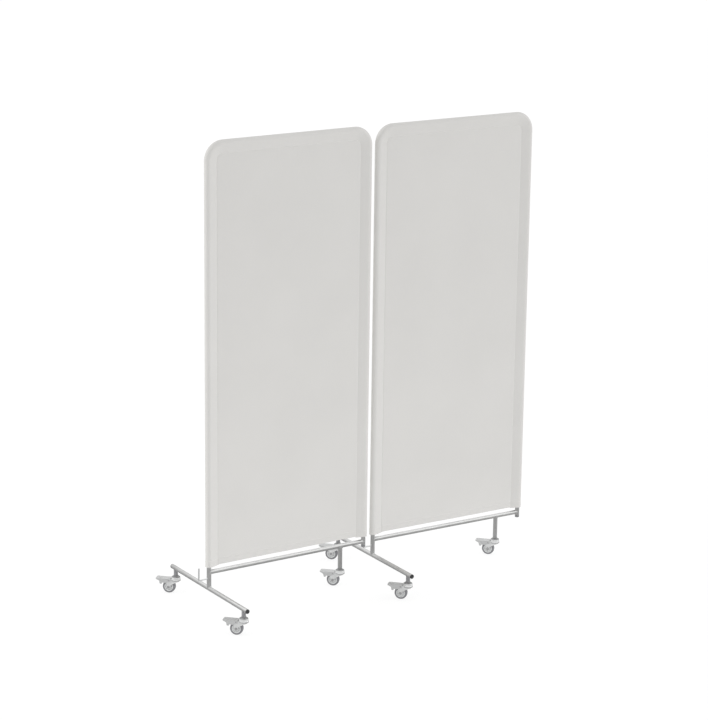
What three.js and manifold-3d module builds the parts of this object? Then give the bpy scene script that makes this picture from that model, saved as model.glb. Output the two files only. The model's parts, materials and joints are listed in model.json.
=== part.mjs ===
// Ward privacy screen on wheels: two cloth-covered tube frames, one swinging on a lift-off peg of the other.
// Lengths are in millimetres and angles in degrees. +Z is up, and a frame stands in its own XZ plane.

import * as THREE from 'three';
import Module from 'manifold-3d';
import { mergeVertices } from 'three/addons/utils/BufferGeometryUtils.js';

// Tubes of one frame, measured from the left post's axis and the floor
const tubeRadius = 9;
const tubeWall = 1.5;
const postSpacing = 720;
const frameTopHeight = 1866;
const topBendRadius = 64;
const railHeight = 171;
const footHeight = 104;
const footLength = 600;
const stemInset = 30;
const legInset = 111;
const socketTubeLength = 74;

// Clearances between pieces
const weldGap = 0.3;
const fitGap = 0.3;
const clothGap = 0.4;
const runningGap = 0.5;

// Cloth cover: a sewn sleeve round the posts and the top bar, with a stretched panel between
const sleeveRadius = 14;
const sleeveWrapTurn = 115;
const sleeveSeamReach = 38;
const panelThickness = 5;
const sleeveRailGap = 14;
const hemRailGap = 17;
const hemDepth = 26;
const hemThickness = 7;

// Lift-off hinge: an L-shaped peg on the left post, and a bushed socket under the right post
const hingeReach = 45.5;
const pegRadius = 3;
const pegArmHeight = 145;
const pegTopHeight = 196;
const pegBendRadius = 4;
const pegTipChamfer = 1;
const bushBoreRadius = 3.6;
const bushFlangeHeight = 8;
const bushSpigotLength = 16;
const bushChamfer = 1.5;
const wingRestTurn = -1.25;

// Plugs in the open ends of the foot tube
const plugFaceThickness = 3;
const plugSpigotLength = 15;
const plugEdgeRound = 1.5;

// Castor: swivel head, fork, braked wheel and pedal
const castorRestTurn = -45;
const wheelRadius = 26;
const wheelWidth = 22;
const tyreDepth = 8;
const tyreShoulder = 2.5;
const tyreCrown = 0.5;
const hubOverhang = 1;
const castorTrail = 27.5;
const headTopHeight = 73;
const headNeckRadius = 10.5;
const headRimTopHeight = 68;
const headRimDepth = 5;
const headRimRadius = 18.5;
const headStemRadius = 4.8;
const headStemLength = 32;
const kingpinRadius = 4.5;
const rivetHeadRadius = 7;
const rivetHeadThickness = 1.5;
const collarRadius = 8.5;
const collarFootRadius = 9.8;
const collarFootHeight = 3;
const crownRadius = 19.5;
const crownShoulder = 3;
const wheelTopGap = 0.8;
const wheelSideGap = 0.8;
const plateThickness = 1.8;
const cheekShoulderHeight = 45;
const cheekBackReach = 10.5;
const cheekBackHeight = 43;
const axleBossRadius = 8;
const axleBossTurn = 22.5;
const earRadius = 3.7;
const pinRadius = 1.8;
const pinHeight = 54.8;
const axleRadius = 3;
const axleHeadRadius = 6;
const axleHeadThickness = 2;
const axleHeadChamfer = 1;
const hubBossRadius = 6.5;
const hubBossTaper = 1;
const hubWebThickness = 4;
const hubRimDepth = 3.2;

// Brake pedal, with reaches measured back from the swivel axis
const pedalRootReach = 20.3;
const pedalTipReach = 82;
const pedalTopHeight = 60.8;
const pedalTipDepth = 4;
const pedalTipChamfer = 2;
const pedalLipReach = 74;
const pedalLipHeight = 55;
const pedalShoulderReach = 66;
const pedalShoulderHeight = 50.5;
const pedalToothReach = 63.5;
const pedalToothWidth = 7.5;
const pedalToothSlope = 2;
const pedalToothHeight = 38;
const pedalNotchHeight = 43.5;
const pedalSkirtReach = 40;
const pedalSkirtHeight = 43;
const pedalHeelHeight = 50;
const pedalTurn = 12;
const shoeReach = 40;
const shoeLength = 10;
const shoeWidth = 14;
const shoeGap = 0.4;

// Facet counts
const tubeSides = 16;
const boreSides = 8;
const bendSteps = 5;
const wheelSides = 20;
const headSides = 12;
const smallSides = 10;
const sleeveArcSteps = 9;
const sleeveTailSteps = 3;
const cheekArcSteps = 3;

const wasm = await Module();
wasm.setup();

const steel = { color: 0xa6a6a4, roughness: 0.38, metalness: 0.85 };
const zinc = { color: 0xbfc1c2, roughness: 0.32, metalness: 0.8 };
const cloth = { color: 0xd6d6d2, roughness: 0.92, metalness: 0 };
const darkPlastic = { color: 0x3c3c3e, roughness: 0.6, metalness: 0 };
const collarPlastic = { color: 0x6a6b6d, roughness: 0.55, metalness: 0 };
const hubPlastic = { color: 0xb9babb, roughness: 0.5, metalness: 0 };
const rubber = { color: 0x6b6c6e, roughness: 0.75, metalness: 0 };

const yAxis = new THREE.Vector3(0, 1, 0);

function circlePoints(radius, sides) {
  const points = [];
  for (let i = 0; i < sides; i += 1) {
    const angle = (2 * Math.PI * i) / sides;
    points.push(new THREE.Vector2(radius * Math.cos(angle), radius * Math.sin(angle)));
  }
  return points;
}

// A closed geometry as a solid that can be joined and cut
function solidOf(geometry) {
  const plain = geometry.clone();
  plain.deleteAttribute('normal');
  plain.deleteAttribute('uv');
  const merged = mergeVertices(plain);
  const corners = [];
  const index = merged.index.array;
  for (let i = 0; i < index.length; i += 3) {
    const [a, b, c] = [index[i], index[i + 1], index[i + 2]];
    if (a !== b && b !== c && c !== a) corners.push(a, b, c);
  }
  const mesh = new wasm.Mesh({
    numProp: 3,
    vertProperties: new Float32Array(merged.attributes.position.array),
    triVerts: new Uint32Array(corners),
  });
  return new wasm.Manifold(mesh);
}

function geometryOf(solid) {
  const mesh = solid.getMesh();
  const geometry = new THREE.BufferGeometry();
  geometry.setAttribute('position', new THREE.BufferAttribute(new Float32Array(mesh.vertProperties), 3));
  geometry.setIndex(new THREE.BufferAttribute(new Uint32Array(mesh.triVerts), 1));
  geometry.computeVertexNormals();
  return geometry;
}

function cut(geometry, ...cutters) {
  return geometryOf(cutters.reduce((left, cutter) => left.subtract(solidOf(cutter)), solidOf(geometry)));
}

function join(geometry, ...others) {
  return geometryOf(others.reduce((whole, other) => whole.add(solidOf(other)), solidOf(geometry)));
}

function within(geometry, limit) {
  return geometryOf(solidOf(geometry).intersect(solidOf(limit)));
}

// A round bar from one point to another
function bar(radius, start, end, sides) {
  const run = new THREE.Vector3().subVectors(end, start);
  const geometry = new THREE.CylinderGeometry(radius, radius, run.length(), sides);
  geometry.applyQuaternion(new THREE.Quaternion().setFromUnitVectors(yAxis, run.clone().normalize()));
  const middle = new THREE.Vector3().addVectors(start, end).multiplyScalar(1 / 2);
  return geometry.translate(middle.x, middle.y, middle.z);
}

// A straight tube from one point to another
function pipe(start, end) {
  const run = new THREE.Vector3().subVectors(end, start);
  const wall = tubeSection(tubeRadius, tubeRadius - tubeWall);
  const geometry = new THREE.ExtrudeGeometry(wall, { depth: run.length(), bevelEnabled: false });
  const zAxis = new THREE.Vector3(0, 0, 1);
  geometry.applyQuaternion(new THREE.Quaternion().setFromUnitVectors(zAxis, run.clone().normalize()));
  return geometry.translate(start.x, start.y, start.z);
}

function tubeSection(outerRadius, innerRadius) {
  const section = new THREE.Shape(circlePoints(outerRadius, tubeSides));
  section.holes.push(new THREE.Path(circlePoints(innerRadius, boreSides)));
  return section;
}

// A turned solid about the Z axis, from [radius, height] pairs
function turned(profile, sides) {
  const points = profile.map(([radius, height]) => new THREE.Vector2(radius, height));
  return new THREE.LatheGeometry(points, sides).rotateX(Math.PI / 2);
}

// An outline in the XZ plane, as thick as asked and centred on that plane
function slab(outline, thickness, segments) {
  const settings = { depth: thickness, bevelEnabled: false, curveSegments: segments };
  return new THREE.ExtrudeGeometry(outline, settings).translate(0, 0, -thickness / 2).rotateX(Math.PI / 2);
}

function block(low, high) {
  const size = new THREE.Vector3().subVectors(high, low);
  const middle = new THREE.Vector3().addVectors(low, high).multiplyScalar(1 / 2);
  return new THREE.BoxGeometry(size.x, size.y, size.z).translate(middle.x, middle.y, middle.z);
}

// A path through chosen stations, so that long straights take one step and bends take many
class StationPath extends THREE.Curve {
  constructor(stations) {
    super();
    this.stations = stations;
  }

  getPoint(t, target = new THREE.Vector3()) {
    const spans = this.stations.length - 1;
    const place = Math.min(Math.max(t, 0), 1) * spans;
    const span = Math.min(Math.floor(place), spans - 1);
    return target.lerpVectors(this.stations[span], this.stations[span + 1], place - span);
  }

  getUtoTmapping(u) {
    return u;
  }
}

function swept(section, stations) {
  const settings = { steps: stations.length - 1, extrudePath: new StationPath(stations), bevelEnabled: false };
  return new THREE.ExtrudeGeometry(section, settings);
}

// Stations round a bend in the XZ plane
function bendStations(centreX, centreZ, radius, startAngle, endAngle) {
  const stations = [];
  for (let i = 0; i <= bendSteps; i += 1) {
    const angle = THREE.MathUtils.degToRad(startAngle + ((endAngle - startAngle) * i) / bendSteps);
    stations.push(new THREE.Vector3(centreX + radius * Math.cos(angle), 0, centreZ + radius * Math.sin(angle)));
  }
  return stations;
}

// The inverted U that the posts and the top bar follow
function archStations(leftBottom, rightBottom) {
  const bendHeight = frameTopHeight - topBendRadius;
  return [
    new THREE.Vector3(0, 0, leftBottom),
    ...bendStations(topBendRadius, bendHeight, topBendRadius, 180, 90),
    ...bendStations(postSpacing - topBendRadius, bendHeight, topBendRadius, 90, 0),
    new THREE.Vector3(postSpacing, 0, rightBottom),
  ];
}

function at(x, y, z) {
  return new THREE.Vector3(x, y, z);
}

const pegArmTop = pegArmHeight + pegRadius;
const bushBottom = pegArmTop + weldGap;
const socketTubeBottom = bushBottom + bushFlangeHeight + fitGap;
const socketTubeTop = socketTubeBottom + socketTubeLength;
const legX = postSpacing - legInset;
const stemY = footLength / 2 - stemInset;
const tubeBoreRadius = tubeRadius - tubeWall;
const insertRadius = (tubeBoreRadius - fitGap) * Math.cos(Math.PI / boreSides);
const railSpan = [at(0, 0, railHeight), at(postSpacing, 0, railHeight)];
const footTubeHalf = footLength / 2 - plugFaceThickness;
const railTop = railHeight + tubeRadius;
const sleeveBottomHeight = railTop + sleeveRailGap;
const hemHeight = railTop + hemRailGap;

function footSpace() {
  return bar(tubeRadius + weldGap, at(0, -footLength, footHeight), at(0, footLength, footHeight), tubeSides);
}

function postSpace(x) {
  return bar(tubeRadius + weldGap, at(x, 0, footHeight), at(x, 0, frameTopHeight), tubeSides);
}

function frameTube() {
  const arch = swept(tubeSection(tubeRadius, tubeBoreRadius), archStations(footHeight, socketTubeTop + weldGap));
  return cut(arch, footSpace());
}

function socketTube() {
  return pipe(at(postSpacing, 0, socketTubeBottom), at(postSpacing, 0, socketTubeTop));
}

function rail() {
  return cut(pipe(...railSpan), postSpace(0), postSpace(postSpacing));
}

function footTube() {
  const tube = pipe(at(0, -footTubeHalf, footHeight), at(0, footTubeHalf, footHeight));
  const stemHole = (y) => bar(headStemRadius + fitGap, at(0, y, 0), at(0, y, footHeight), smallSides);
  return cut(tube, stemHole(-stemY), stemHole(stemY));
}

function legTube() {
  const tube = pipe(at(legX, 0, headTopHeight + weldGap), at(legX, 0, railHeight));
  return cut(tube, bar(tubeRadius + weldGap, ...railSpan, tubeSides));
}

function peg() {
  const upright = [at(-hingeReach, 0, pegTopHeight - pegTipChamfer)];
  const bend = bendStations(pegBendRadius - hingeReach, pegArmHeight + pegBendRadius, pegBendRadius, 180, 270);
  const section = new THREE.Shape(circlePoints(pegRadius, smallSides));
  const rod = swept(section, [...upright, ...bend, at(0, 0, pegArmHeight)]);
  const tipProfile = [
    [0, -pegTipChamfer],
    [pegRadius, -pegTipChamfer],
    [pegRadius, 0],
    [pegRadius - pegTipChamfer, pegTipChamfer],
    [0, pegTipChamfer],
  ];
  const tip = turned(tipProfile, smallSides).translate(-hingeReach, 0, pegTopHeight - pegTipChamfer);
  return cut(join(rod, tip), postSpace(0));
}

// A collar under the socket tube, with a spigot that grips the bore
function socketBush() {
  const shoulder = bushFlangeHeight;
  const top = bushFlangeHeight + bushSpigotLength;
  return turned([
    [bushBoreRadius + bushChamfer, 0],
    [tubeRadius - bushChamfer, 0],
    [tubeRadius, bushChamfer],
    [tubeRadius, shoulder],
    [insertRadius, shoulder],
    [insertRadius, top],
    [bushBoreRadius, top],
    [bushBoreRadius, bushChamfer],
    [bushBoreRadius + bushChamfer, 0],
  ], tubeSides).translate(postSpacing, 0, bushBottom);
}

// A plug whose face closes the tube's front end; the rear one is the same piece turned round
function footPlug() {
  return turned([
    [0, -plugSpigotLength],
    [insertRadius, -plugSpigotLength],
    [insertRadius, weldGap],
    [tubeRadius, weldGap],
    [tubeRadius, plugFaceThickness - plugEdgeRound],
    [tubeRadius - plugEdgeRound, plugFaceThickness],
    [0, plugFaceThickness],
  ], tubeSides).rotateX(Math.PI / 2).translate(0, -footTubeHalf, 0);
}

// Half thickness of the sleeve's tail at a share of its run to the seam
function tailHalfThickness(share, startHalf) {
  const blend = (1 + Math.cos(Math.PI * share)) / 2;
  return panelThickness / 2 + (startHalf - panelThickness / 2) * blend;
}

// Section of the sleeve: round over the tube, drawn in to the seam towards the panel, which lies along +Y
function sleeveSection() {
  const turn = THREE.MathUtils.degToRad(sleeveWrapTurn);
  const points = [];
  for (let i = 0; i <= sleeveArcSteps; i += 1) {
    const angle = -turn + (2 * turn * i) / sleeveArcSteps;
    points.push(new THREE.Vector2(sleeveRadius * Math.sin(angle), -sleeveRadius * Math.cos(angle)));
  }
  const startReach = -sleeveRadius * Math.cos(turn);
  const startHalf = sleeveRadius * Math.sin(turn);
  const tail = [];
  for (let i = 1; i <= sleeveTailSteps; i += 1) {
    const share = i / sleeveTailSteps;
    const reach = startReach + (sleeveSeamReach - startReach) * share;
    tail.push([reach, tailHalfThickness(share, startHalf)]);
  }
  for (const [reach, half] of tail) points.push(new THREE.Vector2(half, reach));
  for (const [reach, half] of tail.reverse()) points.push(new THREE.Vector2(-half, reach));
  const section = new THREE.Shape(points);
  section.holes.push(new THREE.Path(circlePoints(tubeRadius + clothGap, tubeSides)));
  return section;
}

function cover() {
  const sleeve = swept(sleeveSection(), archStations(sleeveBottomHeight, sleeveBottomHeight));
  const inset = (tubeRadius + sleeveSeamReach) / 2;
  const cornerRadius = topBendRadius - inset;
  const left = inset;
  const right = postSpacing - inset;
  const top = frameTopHeight - inset;
  const outline = new THREE.Shape();
  outline.moveTo(left, hemHeight);
  outline.lineTo(right, hemHeight);
  outline.absarc(right - cornerRadius, top - cornerRadius, cornerRadius, 0, Math.PI / 2, false);
  outline.absarc(left + cornerRadius, top - cornerRadius, cornerRadius, Math.PI / 2, Math.PI, false);
  const panel = slab(outline, panelThickness - clothGap, bendSteps);
  const hemHalf = hemThickness / 2;
  const hem = block(at(left, -hemHalf, hemHeight), at(right, hemHalf, hemHeight + hemDepth));
  return join(sleeve, panel, hem);
}

// Castor pieces, about the swivel axis with the floor at zero and the wheel trailing towards -X
const wheelTop = 2 * wheelRadius;
const crownUnderside = wheelTop + wheelTopGap;
const headRimBottom = headRimTopHeight - headRimDepth;
const crownTop = headRimBottom - runningGap;
const cheekTop = pinHeight + earRadius;
const wellHalfWidth = wheelWidth / 2 + wheelSideGap;
const forkHalfWidth = wellHalfWidth + plateThickness;
const skirtHalfWidth = forkHalfWidth + runningGap + plateThickness;
const wheelCentre = at(-castorTrail, 0, wheelRadius);
const pinCentre = at(-castorTrail, 0, pinHeight);

// Stem, a coned cap with an upright rim, and the kingpin that is riveted under the crown
function swivelHead(stemRadius) {
  const rivetTop = crownUnderside - fitGap;
  return turned([
    [0, rivetTop - rivetHeadThickness],
    [rivetHeadRadius, rivetTop - rivetHeadThickness],
    [rivetHeadRadius, rivetTop],
    [kingpinRadius, rivetTop],
    [kingpinRadius, headRimBottom],
    [headRimRadius, headRimBottom],
    [headRimRadius, headRimTopHeight],
    [headNeckRadius, headTopHeight],
    [stemRadius, headTopHeight],
    [stemRadius, headTopHeight + headStemLength],
    [0, headTopHeight + headStemLength],
  ], headSides);
}

// Collar between the swivel head and the foot tube, flared where it meets the head
function collar() {
  const base = headTopHeight + fitGap;
  const bore = headStemRadius + fitGap;
  const body = turned([
    [bore, base],
    [collarFootRadius, base],
    [collarRadius, base + collarFootHeight],
    [collarRadius, footHeight],
    [bore, footHeight],
    [bore, base],
  ], headSides);
  return cut(body, footSpace());
}

// The space behind the crown's round nose
function noseSpace() {
  const round = bar(crownRadius, at(0, 0, 0), at(0, 0, headTopHeight), wheelSides);
  return join(round, block(at(-pedalTipReach, -crownRadius, 0), at(0, crownRadius, headTopHeight)));
}

function fork() {
  const cheek = new THREE.Shape();
  cheek.moveTo(crownRadius, cheekTop);
  cheek.lineTo(crownRadius, crownUnderside);
  cheek.lineTo(0, cheekShoulderHeight);
  cheek.absarc(-castorTrail, wheelRadius, axleBossRadius, THREE.MathUtils.degToRad(axleBossTurn), Math.PI, true);
  cheek.lineTo(-castorTrail - cheekBackReach, cheekBackHeight);
  cheek.absarc(-castorTrail, pinHeight, earRadius, Math.PI, Math.PI / 2, true);
  const crown = turned([
    [0, crownUnderside],
    [crownRadius, crownUnderside],
    [crownRadius, crownTop - crownShoulder],
    [crownRadius - crownShoulder, crownTop],
    [0, crownTop],
  ], wheelSides);
  const wellBack = -castorTrail - 2 * wheelRadius;
  const well = block(
    at(wellBack, -wellHalfWidth, 0),
    at(2 * crownRadius, wellHalfWidth, crownUnderside),
  );
  const lugGap = block(
    at(wellBack, -wellHalfWidth, 0),
    at(-crownRadius, wellHalfWidth, crownTop),
  );
  const across = at(0, skirtHalfWidth, 0);
  const hole = (radius, centre) =>
    bar(radius, centre.clone().sub(across), centre.clone().add(across), smallSides);
  const kingpinHole = bar(kingpinRadius + runningGap, at(0, 0, 0), at(0, 0, headTopHeight), headSides);
  return cut(
    join(within(slab(cheek, 2 * forkHalfWidth, cheekArcSteps), noseSpace()), crown),
    well,
    lugGap,
    hole(axleRadius + fitGap, wheelCentre),
    hole(pinRadius + fitGap, pinCentre),
    kingpinHole,
  );
}

// Turned about the wheel's axis, which is Y
function wheelTurned(profile, sides) {
  return turned(profile, sides).rotateX(Math.PI / 2);
}

function axle() {
  const inner = forkHalfWidth + fitGap;
  const outer = inner + axleHeadThickness;
  return wheelTurned([
    [0, -outer],
    [axleHeadRadius - axleHeadChamfer, -outer],
    [axleHeadRadius, -inner],
    [axleRadius, -inner],
    [axleRadius, inner],
    [axleHeadRadius, inner],
    [axleHeadRadius - axleHeadChamfer, outer],
    [0, outer],
  ], smallSides);
}

function hub() {
  const rimRadius = wheelRadius - tyreDepth;
  const bore = axleRadius + runningGap;
  const half = wheelWidth / 2;
  const rimHalf = half - hubOverhang;
  const webHalf = hubWebThickness / 2;
  const side = [
    [bore, half],
    [hubBossRadius, half],
    [hubBossRadius + hubBossTaper, webHalf],
    [rimRadius - hubRimDepth, webHalf],
    [rimRadius - hubRimDepth, rimHalf],
    [rimRadius, rimHalf],
  ];
  const otherSide = side.map(([radius, y]) => [radius, -y]);
  return wheelTurned([...otherSide, ...side.reverse(), otherSide[0]], wheelSides);
}

function tyre() {
  const inner = wheelRadius - tyreDepth + fitGap;
  const half = wheelWidth / 2 - hubOverhang;
  const shoulderRadius = wheelRadius - tyreShoulder;
  const treadHalf = half - tyreShoulder;
  return wheelTurned([
    [inner, -half],
    [shoulderRadius, -half],
    [wheelRadius - tyreCrown, -treadHalf],
    [wheelRadius, 0],
    [wheelRadius - tyreCrown, treadHalf],
    [shoulderRadius, half],
    [inner, half],
    [inner, -half],
  ], wheelSides);
}

// A pressed channel over the fork, hinged on a pin, whose shoe lands on the tyre at the end of its travel
function pedal() {
  const side = new THREE.Shape();
  side.moveTo(-pedalRootReach, pedalTopHeight);
  side.lineTo(-pedalTipReach + pedalTipChamfer, pedalTopHeight);
  side.lineTo(-pedalTipReach, pedalTopHeight - pedalTipChamfer);
  side.lineTo(-pedalTipReach, pedalTopHeight - pedalTipDepth);
  side.lineTo(-pedalLipReach, pedalLipHeight);
  side.lineTo(-pedalShoulderReach, pedalShoulderHeight);
  side.lineTo(-pedalToothReach, pedalToothHeight);
  side.lineTo(-pedalToothReach + pedalToothWidth, pedalToothHeight);
  side.lineTo(-pedalToothReach + pedalToothWidth + pedalToothSlope, pedalNotchHeight);
  side.lineTo(-pedalSkirtReach, pedalSkirtHeight);
  side.lineTo(-pedalRootReach, pedalHeelHeight);
  const channelHalf = skirtHalfWidth - plateThickness;
  const channel = block(
    at(-pedalTipReach + plateThickness, -channelHalf, 0),
    at(0, channelHalf, pedalTopHeight - plateThickness),
  );
  const shell = cut(slab(side, 2 * skirtHalfWidth), channel);
  const shoe = block(
    at(-shoeReach - shoeLength, -shoeWidth / 2, wheelRadius),
    at(-shoeReach, shoeWidth / 2, pedalTopHeight - plateThickness / 2),
  );
  const pressed = THREE.MathUtils.degToRad(pedalTurn);
  const drop = pinHeight - wheelRadius;
  const tyreWhenPressed = pinCentre.clone().add(at(-drop * Math.sin(pressed), 0, -drop * Math.cos(pressed)));
  const across = at(0, skirtHalfWidth, 0);
  const tyreSpace = bar(
    wheelRadius + shoeGap,
    tyreWhenPressed.clone().sub(across),
    tyreWhenPressed.clone().add(across),
    2 * wheelSides,
  );
  const pinReach = at(0, skirtHalfWidth - plateThickness / 2, 0);
  const pin = bar(pinRadius, pinCentre.clone().sub(pinReach), pinCentre.clone().add(pinReach), smallSides);
  return join(shell, cut(shoe, tyreSpace), pin).translate(-pinCentre.x, -pinCentre.y, -pinCentre.z);
}

function piece(parent, name, geometry, look, place = at(0, 0, 0)) {
  const mesh = new THREE.Mesh(geometry, new THREE.MeshStandardMaterial(look));
  mesh.name = name;
  mesh.position.copy(place);
  parent.add(mesh);
  return mesh;
}

// The turning pieces have their own origin on the axis that they turn about
function addCastor(parent, name, x, y, stemRadius) {
  const castor = new THREE.Group();
  castor.position.set(x, y, 0);
  castor.rotation.z = THREE.MathUtils.degToRad(castorRestTurn);
  parent.add(castor);
  piece(castor, `${name}_swivel_head`, swivelHead(stemRadius), zinc);
  piece(castor, `${name}_fork`, fork(), zinc);
  piece(castor, `${name}_axle`, axle(), steel, wheelCentre);
  piece(castor, `${name}_wheel_hub`, hub(), hubPlastic, wheelCentre);
  piece(castor, `${name}_tyre`, tyre(), rubber, wheelCentre);
  piece(castor, `${name}_brake_pedal`, pedal(), zinc, pinCentre);
}

function addScreen(parent, name) {
  piece(parent, `${name}_frame_tube`, frameTube(), steel);
  piece(parent, `${name}_socket_tube`, socketTube(), steel);
  piece(parent, `${name}_bottom_rail`, rail(), steel);
  piece(parent, `${name}_foot_tube`, footTube(), steel);
  piece(parent, `${name}_leg_tube`, legTube(), steel);
  piece(parent, `${name}_hinge_peg`, peg(), zinc);
  piece(parent, `${name}_socket_bush`, socketBush(), darkPlastic);
  piece(parent, `${name}_cloth_cover`, cover(), cloth);
  for (const [end, side, turn] of [['front', -1, 0], ['rear', 1, Math.PI]]) {
    const plug = piece(parent, `${name}_${end}_foot_plug`, footPlug(), darkPlastic, at(0, 0, footHeight));
    plug.rotation.z = turn;
    const y = side * stemY;
    piece(parent, `${name}_${end}_stem_collar`, collar().translate(0, y, 0), collarPlastic);
    addCastor(parent, `${name}_${end}_castor`, 0, y, headStemRadius);
  }
  addCastor(parent, `${name}_leg_castor`, legX, 0, insertRadius);
}

const model = new THREE.Group();
const mainScreen = new THREE.Group();
addScreen(mainScreen, 'main');
model.add(mainScreen);

// The wing turns about the peg that stands in the main frame's socket
const hinge = new THREE.Group();
hinge.position.set(postSpacing, 0, 0);
hinge.rotation.z = THREE.MathUtils.degToRad(wingRestTurn);
const wingScreen = new THREE.Group();
wingScreen.position.set(hingeReach, 0, 0);
addScreen(wingScreen, 'wing');
hinge.add(wingScreen);
model.add(hinge);

// The origin is the middle of the footprint, on the floor
model.updateMatrixWorld(true);
const reach = new THREE.Box3().setFromObject(model, true);
const centre = reach.getCenter(new THREE.Vector3());
model.position.set(-centre.x, -centre.y, -reach.min.z);
model.updateMatrixWorld(true);

export default model;
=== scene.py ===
"""Ward privacy screen on wheels: two cloth-covered leaves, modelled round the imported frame."""

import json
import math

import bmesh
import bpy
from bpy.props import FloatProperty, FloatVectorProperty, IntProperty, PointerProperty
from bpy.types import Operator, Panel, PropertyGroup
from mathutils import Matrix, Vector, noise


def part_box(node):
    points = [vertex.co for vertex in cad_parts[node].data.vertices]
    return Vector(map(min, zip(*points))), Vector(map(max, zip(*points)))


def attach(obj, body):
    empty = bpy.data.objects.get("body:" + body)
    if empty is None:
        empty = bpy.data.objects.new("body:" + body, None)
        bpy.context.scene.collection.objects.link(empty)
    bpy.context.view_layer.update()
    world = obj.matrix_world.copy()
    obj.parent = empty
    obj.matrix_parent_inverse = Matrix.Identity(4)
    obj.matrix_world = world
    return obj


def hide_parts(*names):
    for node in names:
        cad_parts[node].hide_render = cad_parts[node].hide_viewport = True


bl_info = {
    "name": "Ward Privacy Screen",
    "version": (1, 0, 0),
    "blender": (4, 5, 0),
    "location": "3D View > Sidebar > Ward Screen",
    "description": "Models the tubes, cloth covers, hinge and braked castors of a two-leaf privacy screen",
    "category": "Add Mesh",
}

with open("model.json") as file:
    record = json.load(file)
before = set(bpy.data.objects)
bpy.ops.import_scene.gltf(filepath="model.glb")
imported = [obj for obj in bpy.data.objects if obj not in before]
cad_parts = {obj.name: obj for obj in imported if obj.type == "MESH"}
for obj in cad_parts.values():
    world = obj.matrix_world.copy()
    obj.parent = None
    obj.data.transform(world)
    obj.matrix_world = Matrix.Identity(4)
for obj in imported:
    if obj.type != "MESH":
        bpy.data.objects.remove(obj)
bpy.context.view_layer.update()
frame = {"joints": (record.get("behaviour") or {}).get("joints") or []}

MM = 0.001
X_AXIS = Vector((1, 0, 0))
Y_AXIS = Vector((0, 1, 0))
UP = Vector((0, 0, 1))
SCREENS = ("main", "wing")
CASTOR_SPOTS = ("front", "rear", "leg")
JOINTS = {joint["name"]: joint for joint in frame["joints"]}


def joint_place(name):
    return Vector(JOINTS[name]["pos_m"])


def axes_matrix(x_axis, y_axis, origin):
    matrix = Matrix((x_axis, y_axis, x_axis.cross(y_axis))).transposed().to_4x4()
    matrix.translation = origin
    return matrix


def screen_matrix(screen):
    """Place of a screen's own frame: on the floor under the left post, with the panel towards +X."""
    front = joint_place(f"{screen}_front_castor_swivel")
    rear = joint_place(f"{screen}_rear_castor_swivel")
    across = (rear - front).normalized()
    middle = (front + rear) / 2
    return axes_matrix(across.cross(UP), across, Vector((middle.x, middle.y, 0)))


def castor_matrix(castor):
    """Place of a castor's own frame: on the floor under the swivel, with the wheel trailing towards -X."""
    swivel = joint_place(f"{castor}_swivel")
    trail = swivel - joint_place(f"{castor}_wheel_spin")
    forward = Vector((trail.x, trail.y, 0)).normalized()
    return axes_matrix(forward, UP.cross(forward), Vector((swivel.x, swivel.y, 0)))


def node_span(node, axis):
    """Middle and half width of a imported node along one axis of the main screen."""
    low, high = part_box(node)
    start = joint_place("main_front_castor_swivel").x if axis == 0 else 0
    return (low[axis] + high[axis]) / 2 - start, (high[axis] - low[axis]) / 2


RAIL_HEIGHT, TUBE_RADIUS = node_span("main_bottom_rail", 2)
FOOT_HEIGHT = node_span("main_foot_tube", 2)[0]
FOOT_TUBE_HALF = node_span("main_foot_tube", 1)[1]
LEG_X = node_span("main_leg_tube", 0)[0]
LEG_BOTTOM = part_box("main_leg_tube")[0].z
POST_SPACING = 2 * node_span("main_frame_tube", 0)[0]
TOP_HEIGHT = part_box("main_frame_tube")[1].z - TUBE_RADIUS
SOCKET_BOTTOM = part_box("main_socket_tube")[0].z
SOCKET_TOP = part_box("main_socket_tube")[1].z
BUSH_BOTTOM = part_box("main_socket_bush")[0].z
SLEEVE_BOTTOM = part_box("main_cloth_cover")[0].z
STEM_Y = (joint_place("main_rear_castor_swivel") - joint_place("main_front_castor_swivel")).length / 2
WHEEL_RADIUS = node_span("main_front_castor_tyre", 2)[1]
STEM_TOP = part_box("main_front_castor_swivel_head")[1].z


def number(name, description, default, **options):
    """A setting that can't be negative; the options hold its unit."""
    return FloatProperty(name=name, description=description, default=default, min=0, **options)


def size(name, description, millimetres):
    return number(name, description, millimetres * MM, unit="LENGTH", precision=5)


def angle(name, description, degrees):
    return FloatProperty(name=name, description=description, default=math.radians(degrees), unit="ROTATION")


def colour(name, description, default):
    return FloatVectorProperty(
        name=name, description=description, default=default, size=3, min=0, max=1, subtype="COLOR"
    )


def count(name, description, default):
    return IntProperty(name=name, description=description, default=default, min=3)


def settings(group, name, description):
    return PointerProperty(type=group, name=name, description=description)


class TubeSizes(PropertyGroup):
    radius: size("Tube radius", "Outside radius of every frame tube", TUBE_RADIUS / MM)
    wall: size("Tube wall", "Wall thickness of the frame tubes", 1.5)
    bend_radius: size("Top bend radius", "Radius of the two top bends, at the tube's axis", 64)
    edge_round: size("Cut edge", "Rounding of the tubes' cut ends", 0.35)
    joint_gap: size("Joint gap", "Gap at a welded joint, under the bead", 0.3)
    bead_radius: size("Weld bead radius", "Radius of the weld beads round the joints", 1.1)
    sides: count("Sides", "Faces round each tube", 40)
    bend_steps: count("Bend steps", "Steps in each top bend", 16)


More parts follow.
